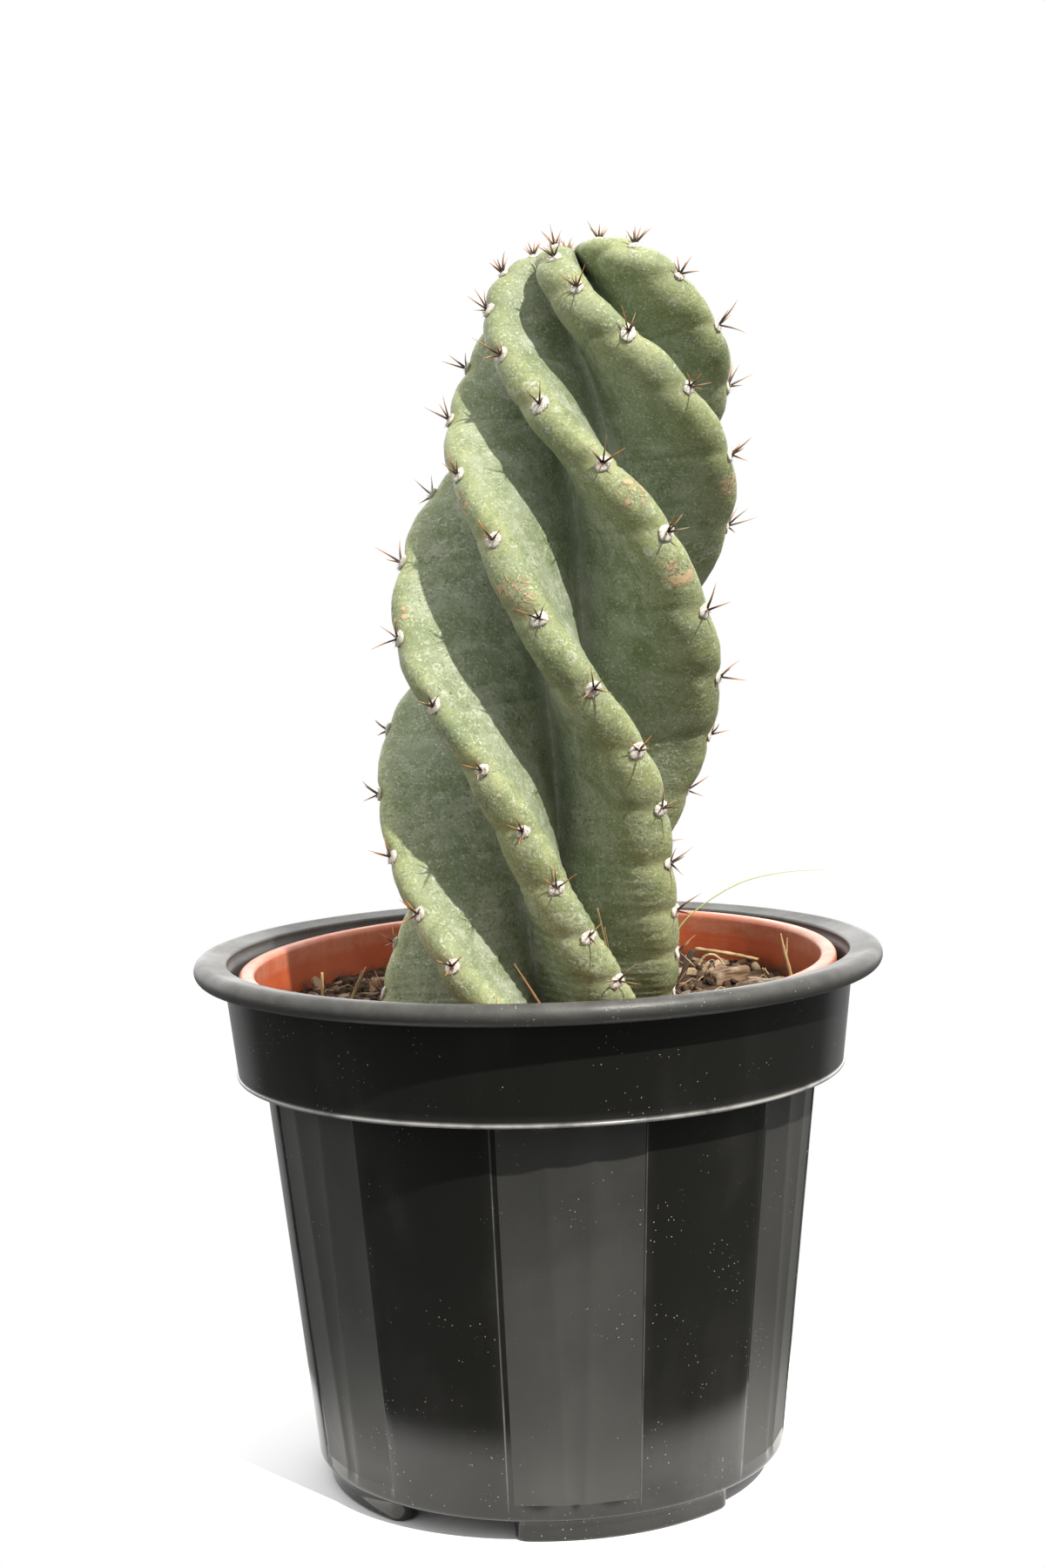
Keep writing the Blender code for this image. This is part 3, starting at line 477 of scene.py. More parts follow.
class Graph:
    """Adds nodes to a node tree with few words."""

    def __init__(self, tree):
        self.tree = tree

    def node(self, kind, **settings):
        made = self.tree.nodes.new(kind)
        for name, value in settings.items():
            setattr(made, name, value)
        return made

    def wire(self, value, socket):
        """Links an output, or sets a plain value."""
        if isinstance(value, bpy.types.NodeSocket):
            self.tree.links.new(value, socket)
        elif isinstance(value, tuple) and len(value) == 3 and socket.type == "RGBA":
            socket.default_value = (*value, 1.0)
        else:
            socket.default_value = value

    def between(self, value, low, high, to_low=0.0, to_high=1.0, easing="SMOOTHSTEP"):
        """Maps low..high to to_low..to_high and stays level beyond."""
        made = self.node("ShaderNodeMapRange", interpolation_type=easing)
        self.wire(value, made.inputs["Value"])
        for name, limit in (("From Min", low), ("From Max", high), ("To Min", to_low), ("To Max", to_high)):
            made.inputs[name].default_value = limit
        return made.outputs["Result"]

    def combine(self, operation, a, b):
        made = self.node("ShaderNodeMath", operation=operation)
        self.wire(a, made.inputs[0])
        self.wire(b, made.inputs[1])
        return made.outputs["Value"]

    def plus(self, a, b):
        return self.combine("ADD", a, b)

    def times(self, a, b):
        return self.combine("MULTIPLY", a, b)


class Finish(Graph):
    """One material: its textures read the piece's own coordinates or the numbers stored on its mesh."""

    def __init__(self, name, roughness=0.5, specular=0.5):
        self.material = bpy.data.materials.new(name)
        self.material.use_nodes = True
        super().__init__(self.material.node_tree)
        self.shader = self.tree.nodes["Principled BSDF"]
        self.shader.inputs["Roughness"].default_value = roughness
        self.shader.inputs["Specular IOR Level"].default_value = specular
        self.place = self.node("ShaderNodeTexCoord").outputs["Object"]

    def stretched(self, x, y, z):
        made = self.node("ShaderNodeMapping")
        self.wire(self.place, made.inputs["Vector"])
        made.inputs["Scale"].default_value = (x, y, z)
        return made.outputs["Vector"]

    def noise(self, scale, detail=4.0, roughness=0.55, distortion=0.0, vector=None):
        made = self.node("ShaderNodeTexNoise")
        self.wire(vector or self.place, made.inputs["Vector"])
        made.inputs["Scale"].default_value = scale
        made.inputs["Detail"].default_value = detail
        made.inputs["Roughness"].default_value = roughness
        made.inputs["Distortion"].default_value = distortion
        return made.outputs["Fac"]

    def cells(self, scale, feature="F1", vector=None):
        made = self.node("ShaderNodeTexVoronoi", feature=feature)
        self.wire(vector or self.place, made.inputs["Vector"])
        made.inputs["Scale"].default_value = scale
        return made.outputs["Distance"]

    def value(self, name):
        return self.node("ShaderNodeAttribute", attribute_name=name).outputs["Fac"]

    def vector(self, name):
        return self.node("ShaderNodeAttribute", attribute_name=name).outputs["Vector"]

    def mix(self, share, a, b):
        made = self.node("ShaderNodeMix", data_type="RGBA")
        self.wire(share, made.inputs[0])
        self.wire(a, made.inputs[6])
        self.wire(b, made.inputs[7])
        return made.outputs[2]

    def colour(self, value):
        self.wire(value, self.shader.inputs["Base Color"])

    def roughness(self, value):
        self.wire(value, self.shader.inputs["Roughness"])

    def bump(self, height, distance, strength=1.0):
        made = self.node("ShaderNodeBump")
        made.inputs["Strength"].default_value = strength
        made.inputs["Distance"].default_value = distance
        self.wire(height, made.inputs["Height"])
        old = self.shader.inputs["Normal"]
        if old.is_linked:
            self.wire(old.links[0].from_socket, made.inputs["Normal"])
        self.wire(made.outputs["Normal"], old)


def cactus_skin():
    """Waxy skin: yellow-green crests and grey-green flanks under a pale bloom, water spots and corky scars;
    the crest and flank colours are partly the skin's own, partly painted sunlight on the crests and painted
    shade on the flanks.
    """
    f = Finish("cactus_skin", specular=0.35)
    crest = f.value("crest")
    valley = f.value("valley")
    fine = f.noise(210.0, 6.0, 0.65)
    # Partly painted sunlight and shade: the lighter, warmer crest colour and the cooler flank colour, over the
    # skin's own colour.
    skin = f.mix(crest, SKIN_FLANK_SHADE_TINTED, SKIN_CREST_SUN_TINTED)
    skin = f.mix(f.between(f.noise(34.0, 5.0, 0.6, 0.4), 0.44, 0.68), skin, SKIN_DEEP)
    skin = f.mix(f.between(f.noise(130.0, 7.0, 0.72, 0.6), 0.44, 0.62, 0.0, 0.55), skin, SKIN_MOTTLE)
    cloud = f.between(f.noise(60.0, 7.0, 0.65, 0.8), 0.40, 0.68)
    bloom = f.times(cloud, f.between(crest, 0.0, 1.0, 0.95, 0.30))
    skin = f.mix(f.times(bloom, 0.66), skin, SKIN_BLOOM)
    speckle = f.between(f.noise(900.0, 5.0, 0.78), 0.515, 0.615)
    skin = f.mix(f.times(speckle, f.between(fine, 0.38, 0.62, 0.20, 0.85)), skin, SKIN_SPECKLE)
    pits = f.between(f.noise(760.0, 5.0, 0.74), 0.545, 0.645)
    patch = f.between(f.noise(21.0, 4.0, 0.6), 0.44, 0.62, 0.40, 0.95)
    skin = f.mix(f.times(pits, patch), skin, SKIN_PIT)
    skin = f.mix(f.times(water_spots(f, fine), 0.60), skin, SKIN_WATER_MARK)
    hollow = f.times(f.between(valley, 0.0, 0.85), f.between(valley, 1.0, 0.90, 0.25, 1.0))
    skin = f.mix(f.times(hollow, 0.45), skin, SKIN_HOLLOW)
    hairline = f.cells(46.0, "DISTANCE_TO_EDGE", f.stretched(0.55, 0.55, 1.9))
    hairline = f.times(f.between(hairline, 0.030, 0.006), f.between(f.noise(30.0, 3.0), 0.48, 0.60))
    skin = f.mix(f.times(hairline, 0.08), skin, SKIN_HAIRLINE)
    # Painted shade: darker colour in the creases and in the hollows of the folds.
    skin = f.mix(f.times(f.value("crease_shade"), 0.18), skin, SKIN_CREASE_SHADE)
    scarred = f.between(f.value("scarred"), 0.20, 0.60)
    cork = f.times(f.between(f.noise(150.0, 6.0, 0.62, 1.8), 0.48, 0.55), scarred)
    skin = f.mix(cork, skin, CORK)
    skin = f.mix(f.times(f.value("halo"), 0.50), skin, SKIN_HALO)
    f.colour(skin)
    f.roughness(f.between(f.plus(fine, f.times(bloom, 0.4)), 0.2, 1.1, 0.52, 0.82))
    f.bump(f.noise(95.0, 6.0, 0.6), 0.0007, 0.6)
    f.bump(f.noise(560.0, 5.0, 0.65), 0.00036, 1.0)
    f.bump(cork, 0.00035)
    return f.material


def water_spots(f, fine):
    """Rings that drops left where they dried, in some stretches of the skin."""
    wavy = f.plus(f.cells(150.0), f.between(f.noise(420.0, 3.0), 0.0, 1.0, -0.12, 0.12))
    ring = f.times(f.between(wavy, 0.16, 0.26), f.between(wavy, 0.42, 0.30))
    wetted = f.times(f.between(f.noise(15.0, 2.0), 0.50, 0.62), f.between(fine, 0.40, 0.58))
    return f.times(ring, wetted)


def felt():
    """Cream wool that is browner round the feet of the spines."""
    f = Finish("cushion_felt", roughness=0.95, specular=0.1)
    wool = f.mix(f.between(f.noise(800.0, 4.0), 0.50, 0.70), (0.820, 0.785, 0.705), (0.440, 0.365, 0.285))
    f.colour(f.mix(f.times(f.value("centre"), 0.45), wool, (0.300, 0.215, 0.150)))
    f.bump(f.noise(2400.0, 3.0), 0.0003)
    return f.material


def spine():
    """Dark brown at the foot, amber towards the tip, with some greyed ones."""
    f = Finish("spine", roughness=0.45)
    amber = f.mix(f.value("tone"), (0.560, 0.225, 0.050), (0.460, 0.350, 0.220))
    f.colour(f.mix(f.between(f.value("along"), 0.22, 0.72), (0.060, 0.026, 0.014), amber))
    f.bump(f.noise(3000.0, 2.0, vector=f.stretched(1.0, 1.0, 0.15)), 0.00008)
    return f.material


def pot_plastic(name, colour, roughness, specular, dust, grain):
    """Black moulded plastic with fine grain, drifting dust, and specks and scuffs low down and on the rim."""
    f = Finish(name, specular=specular)
    cloud = f.noise(16.0, 6.0, 0.6, 0.4)
    streak = f.noise(34.0, 5.0, 0.6, vector=f.stretched(1.0, 1.0, 0.16))
    film = f.times(f.between(f.times(cloud, streak), 0.20, 0.46), dust)
    low = f.between(f.value("low"), 0.0, 1.0)
    film = f.plus(film, f.times(low, f.times(f.between(cloud, 0.35, 0.65), dust * 1.2)))
    base = f.mix(film, colour, (0.215, 0.210, 0.195))
    speck = f.between(f.cells(480.0), 0.130, 0.065)
    rare = f.between(f.plus(f.noise(45.0, 3.0), f.times(low, 0.07)), 0.53, 0.63)
    base = f.mix(f.times(speck, f.times(rare, 0.85)), base, (0.560, 0.500, 0.410))
    scuff = f.between(f.noise(130.0, 5.0, 0.7, vector=f.stretched(1.0, 1.0, 5.0)), 0.68, 0.76)
    base = f.mix(f.times(scuff, f.plus(0.12, f.times(f.value("rim"), 0.5))), base, (0.30, 0.29, 0.27))
    rim_dust = f.times(f.value("rim"), f.between(f.noise(70.0, 6.0, 0.65), 0.30, 0.75, 0.02, 0.24))
    base = f.mix(rim_dust, base, (0.260, 0.245, 0.220))
    # Partly wear, partly painted highlight: pale along the bead under the collar and, faintly, along the
    # panels' edges.
    worn = f.times(f.value("worn"), f.between(f.noise(50.0, 6.0, 0.65), 0.25, 0.60, 0.30, 1.0))
    base = f.mix(f.times(worn, 0.85), base, (0.420, 0.415, 0.395))
    f.colour(base)
    rough = f.between(cloud, 0.3, 0.7, roughness * 0.85, roughness * 1.2)
    f.roughness(f.plus(rough, f.plus(f.times(film, 0.5), f.times(worn, 0.3))))
    f.bump(f.noise(1500.0, 2.0), grain)
    f.bump(f.noise(26.0, 3.0, vector=f.stretched(1.0, 1.0, 0.3)), 0.0005, 0.35)
    return f.material


def terracotta():
    """Orange-brown plastic, a little faded and dusty, with a chalky lip, and darker in a band just over the
    soil.
    """
    f = Finish("terracotta_plastic", specular=0.5)
    cloud = f.noise(22.0, 6.0, 0.6, 0.5)
    runs = f.noise(60.0, 5.0, 0.6, vector=f.stretched(1.0, 1.0, 0.12))
    base = f.mix(f.between(cloud, 0.3, 0.7), (0.440, 0.074, 0.022), (0.530, 0.110, 0.036))
    base = f.mix(f.times(f.between(runs, 0.52, 0.76), 0.16), base, (0.560, 0.300, 0.180))
    chalk = f.times(f.value("lip"), f.between(f.noise(120.0, 6.0, 0.7), 0.25, 0.70, 0.04, 0.34))
    base = f.mix(chalk, base, (0.640, 0.380, 0.270))
    # Darker in a noisy band just over the soil.
    darker_near_soil = f.times(f.value("near_soil"), f.between(f.noise(110.0, 6.0, 0.6), 0.35, 0.62))
    base = f.mix(darker_near_soil, base, (0.100, 0.055, 0.035))
    f.colour(base)
    f.roughness(f.between(cloud, 0.3, 0.7, 0.34, 0.52))
    f.bump(f.noise(900.0, 2.0), 0.00006)
    f.bump(f.noise(60.0, 3.0, vector=f.stretched(1.0, 1.0, 6.0)), 0.0003, 0.4)
    return f.material


def soil_mix():
    """Dark potting mix with pale grains; the crumbs' own number makes some of them pale."""
    f = Finish("soil_mix", roughness=0.97, specular=0.15)
    clump = f.noise(130.0, 6.0, 0.65)
    base = f.mix(f.between(clump, 0.35, 0.65), (0.028, 0.017, 0.011), (0.110, 0.070, 0.045))
    grains = f.between(f.cells(700.0), 0.16, 0.08)
    base = f.mix(f.times(grains, 0.5), base, (0.300, 0.240, 0.180))
    f.colour(f.mix(f.times(f.value("pale"), 0.8), base, (0.340, 0.250, 0.165)))
    f.bump(f.noise(420.0, 6.0, 0.7), 0.0012)
    return f.material


def bark():
    """Split bark: stretched grain between dark and tan, greyed where it is weathered."""
    f = Finish("bark", roughness=0.92, specular=0.2)
    grain = f.noise(1.0, 6.0, 0.7, 0.4, vector=f.vector("grain"))
    base = f.mix(f.value("tone"), (0.110, 0.062, 0.036), (0.430, 0.300, 0.190))
    base = f.mix(f.between(grain, 0.46, 0.62), base, (0.070, 0.042, 0.028))
    base = f.mix(f.times(f.between(f.noise(90.0, 5.0), 0.48, 0.68), 0.6), base, (0.500, 0.420, 0.330))
    f.colour(base)
    f.bump(grain, 0.0010)
    return f.material


def straw(name, pale, dark):
    """Dry stalk with fine lengthwise fibres and darker blotches."""
    f = Finish(name, roughness=0.75, specular=0.3)
    fibres = f.noise(1.0, 5.0, 0.6, vector=f.vector("grain"))
    base = f.mix(f.between(fibres, 0.38, 0.64), pale, dark)
    blotch = f.between(f.noise(150.0, 4.0), 0.55, 0.72)
    f.colour(f.mix(f.times(blotch, 0.5), base, (dark[0] * 0.5, dark[1] * 0.45, dark[2] * 0.4)))
    f.bump(fibres, 0.0003)
    return f.material


def grass():
    """Thin green blade that yellows towards its tip."""
    f = Finish("grass", roughness=0.55)
    f.colour(f.mix(f.between(f.value("along"), 0.2, 0.95), (0.330, 0.430, 0.110), (0.560, 0.520, 0.230)))
    f.bump(f.noise(1800.0, 2.0, vector=f.stretched(0.3, 1.0, 0.3)), 0.0001)
    return f.material


def grit():
    """Dark stone with pale grains."""
    f = Finish("dark_stone", roughness=0.85, specular=0.3)
    cloud = f.between(f.noise(420.0, 6.0, 0.65), 0.35, 0.66)
    base = f.mix(cloud, (0.042, 0.036, 0.033), (0.165, 0.145, 0.125))
    f.colour(f.mix(f.between(f.cells(900.0), 0.12, 0.06), base, (0.400, 0.370, 0.330)))
    f.bump(f.noise(700.0, 5.0, 0.6), 0.0006)
    return f.material


# Stem ------------------------------------------------------------------------------------------------------

def half_rib(reach, valley, shape):
    """(outwards, sideways) points from a rib's crest, round its edge and down its flank to the valley."""
    half_pitch = math.pi / RIBS
    width, depth, flare = shape
    width = min(width, CREST_SHARE * reach)
    depth = min(depth, CREST_SHARE * reach)
    bend = np.linspace(0.0, math.pi / 2.0, CREST_POINTS + 1)
    edge = np.stack([reach - depth + depth * np.cos(bend), width * np.sin(bend)], axis=1)
    low = valley * np.array((math.cos(half_pitch), math.sin(half_pitch)))
    into = min(VALLEY_ROUND, 0.3 * valley) * np.array((math.sin(half_pitch), -math.cos(half_pitch)))
    start = edge[-1]
    pull = start + (low - start) * np.array((FLANK_PULL, flare))
    t = np.linspace(0.0, 1.0, FLANK_POINTS + 1)[1:, None]
    flank = (1.0 - t) ** 3 * start + 3.0 * t * (1.0 - t) ** 2 * pull
    flank = flank + 3.0 * t * t * (1.0 - t) * (low + into) + t ** 3 * low
    return np.vstack([edge, flank])


def rib_turn(rib, first_turn, height):
    """Direction of a rib's crest at a height."""
    drift = RIB_TURN_DRIFT[rib] * (height - DRIFT_LEVEL) / DRIFT_SPAN
    return math.radians(first_turn + 360.0 / RIBS * rib + RIB_TURN_OFFSETS[rib] + drift)


def stem_ring(row):
    """One closed line round the stem that passes every crest and every valley."""
    crest_height, reach, first_turn, place, valley_height, valley = row
    turns = [rib_turn(rib, first_turn, crest_height) for rib in range(RIBS)]
    turns.append(turns[0] + 2.0 * math.pi)
    lean = TIP_LEAN * smooth_step(TIP_LEAN_FROM, TIP_LEAN_TO, crest_height)
    stretches = []
    for rib in range(RIBS):
        pitch = turns[rib + 1] - turns[rib]
        right = half_rib(reach * RIB_REACH[rib], valley, UPPER_HALF)
        left = half_rib(reach * RIB_REACH[(rib + 1) % RIBS], valley, LOWER_HALF)[::-1][1:-1]
        stretch = pitch * RIBS / (2.0 * math.pi)
        for base, half, side in ((turns[rib], right, 1.0), (turns[rib + 1], left, -1.0)):
            bend = np.arctan2(half[:, 1], half[:, 0])
            share = bend * RIBS / math.pi
            angle = base + side * bend * (1.0 + share * share * (stretch - 1.0))
            radius = np.hypot(half[:, 0], half[:, 1])
            rise = np.clip((radius - valley) / (reach - valley), 0.0, 1.0)
            across = radius * np.sin(angle)
            height = valley_height + (crest_height - valley_height) * rise + lean * across
            stretches.append(np.stack([across + place, -radius * np.cos(angle), height], axis=1))
    return np.vstack(stretches)


def normals_of(grid):
    """Outward unit normals of a closed-round grid of rings."""
    up = np.gradient(grid, axis=0)
    round_it = np.roll(grid, -1, axis=1) - np.roll(grid, 1, axis=1)
    made = np.cross(round_it, up)
    return made / np.maximum(np.linalg.norm(made, axis=2, keepdims=True), 1e-12)


def column_places():
    """For each column round the stem: its rib, its steps from that rib's crest, and its side."""
    ribs, steps, sides = [], [], []
    for rib in range(RIBS):
        ribs += [rib] * (HALF_POINTS + 1) + [(rib + 1) % RIBS] * (HALF_POINTS - 1)
        steps += list(range(HALF_POINTS + 1)) + list(range(HALF_POINTS - 1, 0, -1))
        sides += [1.0] * (HALF_POINTS + 1) + [-1.0] * (HALF_POINTS - 1)
    return np.array(ribs), np.array(steps, float), np.array(sides)


class Stem:
    """The grown surface of the stem, with what its skin and its cushions need."""

    def __init__(self):
        stations = np.array(STEM_STATIONS)
        travel = np.hypot(np.diff(stations[:, 0]), np.diff(stations[:, 1]))
        steps = np.maximum(RINGS_AT_LEAST, np.ceil(travel / RING_STEP)).astype(int)
        rows = curve_through(np.column_stack([stations, CUSHIONS_AT_STATION]), steps)
        self.counts = rows[:, 6]
        smooth = np.array([stem_ring(row[:6]) for row in rows])
        self.ribs, self.steps, self.sides = column_places()
        outwards = normals_of(smooth)
        self.values = self.skin_values(smooth)
        grown = self.relief(smooth) * smooth_step(*RELIEF_FADES, rows[:, 1])[:, None]
        self.grid = smooth + grown[:, :, None] * outwards
        self.normals = normals_of(self.grid)

    def from_cushion(self):
        """Cushions counted along each rib, and the way to the nearest one, -0.5 to 0.5, at every point."""
        count = self.counts[:, None] + np.array(CUSHION_SHIFT)[self.ribs][None, :]
        return count, count - np.round(count)

    def relief(self, smooth):
        """Height of the skin over its smooth form: lobes, notches, creases and uneven growth."""
        count, away = self.from_cushion()
        crest = 1.0 - smooth_step(0.0, CREST_POINTS + 0.55 * FLANK_POINTS, self.steps)
        flank = smooth_step(0.3 * CREST_POINTS, CREST_POINTS, self.steps)
        flank *= 1.0 - smooth_step(CREST_POINTS + 0.45 * FLANK_POINTS, 0.98 * HALF_POINTS, self.steps)
        lobes = LOBE * crest * (0.5 - 0.5 * np.cos(2.0 * math.pi * away))
        notches = NOTCH * crest ** 2 * np.exp(-(away / NOTCH_SHARE) ** 2)
        wander = CREASE_WANDER * noise_of(smooth, 70.0, 2)
        each = np.sin(np.round(count) * 2.7 + self.ribs[None, :] * 1.9 + self.sides[None, :] * 0.8)
        creases = CREASE * flank * (0.55 + 0.45 * each) * np.exp(-((away + wander) / CREASE_SHARE) ** 2)
        low = 1.0 - smooth_step(*FOLDS_FADE, smooth[:, :, 2])
        folds = FOLD * flank * low * np.sin(2.0 * math.pi * FOLDS_PER_CUSHION * (away + 1.4 * wander))
        uneven = UNEVEN * noise_of(smooth, 42.0, 2) + UNEVEN_FINE * noise_of(smooth, 170.0, 3)
        # Mask of the painted shade in the creases and in the hollows of the folds.
        self.values["crease_shade"] = np.clip(creases / CREASE + 0.6 * np.maximum(-folds, 0.0) / FOLD, 0.0, 1.0)
        return lobes - notches - creases + folds + uneven

    def skin_values(self, smooth):
        """Numbers from 0 to 1 at every point, which the skin's material reads."""
        _, away = self.from_cushion()
        shape = smooth.shape[:2]
        crest = 1.0 - smooth_step(0.4 * CREST_POINTS, CREST_POINTS + 0.30 * FLANK_POINTS, self.steps)
        valley = smooth_step(HALF_POINTS - 0.45 * FLANK_POINTS, HALF_POINTS, self.steps)
        near_crest = 1.0 - smooth_step(0.0, 1.1 * CREST_POINTS, self.steps)
        front = smooth[:, :, 1] < 0.0
        scar = np.zeros(shape)
        for x, z, size in SCARS:
            distance = np.hypot(smooth[:, :, 0] - x, smooth[:, :, 2] - z) / size
            scar = np.maximum(scar, np.exp(-distance ** 2) * front * crest)
        return {
            "crest": np.broadcast_to(crest, shape),
            "valley": np.broadcast_to(valley, shape),
            "halo": near_crest * np.exp(-(away / HALO_SHARE) ** 2),
            "scarred": scar,
        }

    def cushions(self):
        """(place, outwards, along the rib) of each felt cushion above the soil."""
        made = []
        for rib in range(RIBS):
            column = 2 * HALF_POINTS * rib
            count = self.counts + CUSHION_SHIFT[rib]
            for whole in range(math.ceil(count[0]), math.floor(count[-1]) + 1):
                row = float(np.interp(whole, count, np.arange(len(count))))
                i = min(int(row), len(count) - 2)
                mixed = (row - i) * self.grid[i + 1, column] + (1.0 - row + i) * self.grid[i, column]
                along = self.grid[i + 1, column] - self.grid[max(i - 2, 0), column]
                if mixed[2] > CUSHIONS_FROM:
                    made.append((Vector(mixed), Vector(self.normals[i, column]), Vector(along).normalized()))
        return made


def make_stem(stem, finish):
    first = stem.grid[0] - np.array((ROOT_PLACE, 0.0, 0.0))
    turns = np.arctan2(first[:, 0], -first[:, 1])
    crown = [
        [(ROOT_PLACE + radius * math.sin(a), -radius * math.cos(a), height) for a in turns]
        for height, radius in ROOT_CROWN
    ]
    rings = np.vstack([crown, stem.grid])
    mesh = grid_mesh("cactus_skin", rings, (ROOT_PLACE, 0.0, ROOT_CROWN[0][0]), GROWING_POINT)
    under = len(ROOT_CROWN) * rings.shape[1]
    above = len(mesh.vertices) - under - stem.grid[:, :, 0].size
    for name, numbers in stem.values.items():
        add_values(mesh, **{name: np.concatenate([np.zeros(under), np.ravel(numbers), np.zeros(above)])})
    return piece(link("stem", mesh, finish), "cactus_skin", "cactus_stem")


def cone(foot, tip, bend, foot_radius, sides, rings):
    """(points, faces, share of the length) of a pointed needle that bends a little to one side."""
    foot, tip, bend = Vector(foot), Vector(tip), Vector(bend)
    shares = np.linspace(0.0, 1.0, rings)
    route = [foot.lerp(tip, float(t)) + bend * math.sin(math.pi * t) for t in shares]
    radii = [foot_radius * (1.0 - 0.93 * t ** 1.4) for t in shares]
    points, faces = tube(route, radii, sides)
    return points, faces, np.repeat(shares, sides)


def spine_aim(draw, axes, turn, first):
    """Direction of one spine: the first stands out of its cushion, the others splay, and all rise."""
    splay = math.radians(draw.uniform(*(FIRST_SPLAY if first else SPLAY)))
    local = np.array((math.sin(splay) * math.cos(turn), math.sin(splay) * math.sin(turn), math.cos(splay)))
    return (Vector(local @ axes) + Vector((0.0, 0.0, SPINE_RISE))).normalized()


def make_cushions(cushions, felt_finish, spine_finish):
    """Felt cushions with short wool, and the spines that stand out of them."""
    draw = rng(21)
    dome_points, dome_faces = ball(14, 9)
    wool = Parts("pale", "centre")
    centre = np.exp(-(np.hypot(dome_points[:, 0], dome_points[:, 1]) / 0.50) ** 2)
    spines = Parts("along", "tone")
    for place, outwards, along in cushions:
        young = float(smooth_step(*YOUNG_FROM, place.z))
        across = outwards.cross(along).normalized()
        axes = np.array((across[:], along[:], outwards[:]))
        size = CUSHION_RADIUS * draw.uniform(0.85, 1.12) * (1.0 - 0.15 * young)
        scale = np.array((1.0, 0.82, 0.32 + 0.15 * young)) * size
        rough = 1.0 + WOOL_ROUGHNESS * draw.standard_normal(len(dome_points))[:, None]
        middle = np.array(place) + np.array(outwards) * size * 0.12
        dome = middle + (dome_points * rough * scale) @ axes
        wool.add(dome, dome_faces, pale=draw.uniform(0.0, 1.0), centre=centre)
        for _ in range(WOOL_HAIRS):
            turn, reach = draw.uniform(0.0, 2.0 * math.pi), math.sqrt(draw.uniform(0.0, 1.0))
            lift = math.sqrt(max(1.0 - reach * reach, 0.0))
            local = np.array((reach * math.cos(turn), reach * math.sin(turn), lift * 0.9))
            root = middle + (local * scale * 0.92) @ axes
            aim = local * np.array((1.0, 1.0, 0.8)) + draw.normal(0.0, 0.35, 3)
            tip = root + (aim / np.linalg.norm(aim) * size * draw.uniform(0.22, 0.55)) @ axes
            points, faces, _ = cone(root, tip, (0.0, 0.0, 0.0), WOOL_HAIR_RADIUS, 3, 2)
            wool.add(points, faces, pale=draw.uniform(0.3, 1.0), centre=0.0)
        count = int(draw.integers(3, 5)) + round(2 * young)
        start = draw.uniform(0.0, 2.0 * math.pi)
        for k in range(count):
            turn = start + 2.0 * math.pi * k / count + draw.uniform(-0.35, 0.35)
            aim = spine_aim(draw, axes, turn, k == 0)
            length = draw.uniform(*SPINE_LENGTH) * (1.1 if k == 0 else 1.0) * (1.0 - 0.25 * young)
            root = Vector(middle) + outwards * size * 0.15 + aim * size * 0.12
            bend = outwards * draw.uniform(-0.05, 0.09) * length
            radius = draw.uniform(*SPINE_RADIUS)
            points, faces, shares = cone(root, root + aim * length, bend, radius, 6, 6)
            spines.add(points, faces, along=shares, tone=draw.uniform(0.0, 1.0) ** 2)
    wool_piece = link("areole_felt", wool.mesh("areole_felt"), felt_finish)
    spine_piece = link("spines", spines.mesh("spines"), spine_finish)
    return piece(wool_piece, "cactus_skin"), piece(spine_piece, "cactus_skin")


# Pots ------------------------------------------------------------------------------------------------------

def pot_columns():
    """(side, place) of each column of one pair of panels: a plain one, then one with three flutes."""
    edges = [0.0, 0.15, 0.35, 0.6, 0.8, 1.0]
    plain = [("plain_start", share) for share in edges]
    plain += [("plain", share) for share in np.linspace(0.0, 1.0, 14)[1:-1]]
    plain += [("plain_end", share) for share in edges]
    flutes = [("fluted", place) for place in np.linspace(0.0, 3.0, 37)[1:-1]]
    return plain + flutes


def wall_relief(side, place, height_share):
    """(angle from the pair's start, depth cut in) of a column; the middle flute narrows downwards."""
    panel = math.pi / PANEL_PAIRS
    edge = PANEL_EDGE / BODY_BOTTOM_RADIUS
    if side == "plain_start":
        return edge * place, PANEL_RECESS * (1.0 - math.sin(place * math.pi / 2.0))
    if side == "plain":
        return edge + place * (panel - 2.0 * edge), 0.0
    if side == "plain_end":
        return panel - edge * (1.0 - place), PANEL_RECESS * (1.0 - math.sin((1.0 - place) * math.pi / 2.0))
    middle = MIDDLE_FLUTE_BOTTOM + height_share * (MIDDLE_FLUTE_TOP - MIDDLE_FLUTE_BOTTOM)
    outer = (panel - middle) / 2.0
    edges = (0.0, outer, outer + middle, panel)
    flute = min(int(place), 2)
    across = place - flute
    angle = panel + edges[flute] + across * (edges[flute + 1] - edges[flute])
    return angle, PANEL_RECESS + FLUTE_DEPTH * (1.0 - (2.0 * across - 1.0) ** 2)


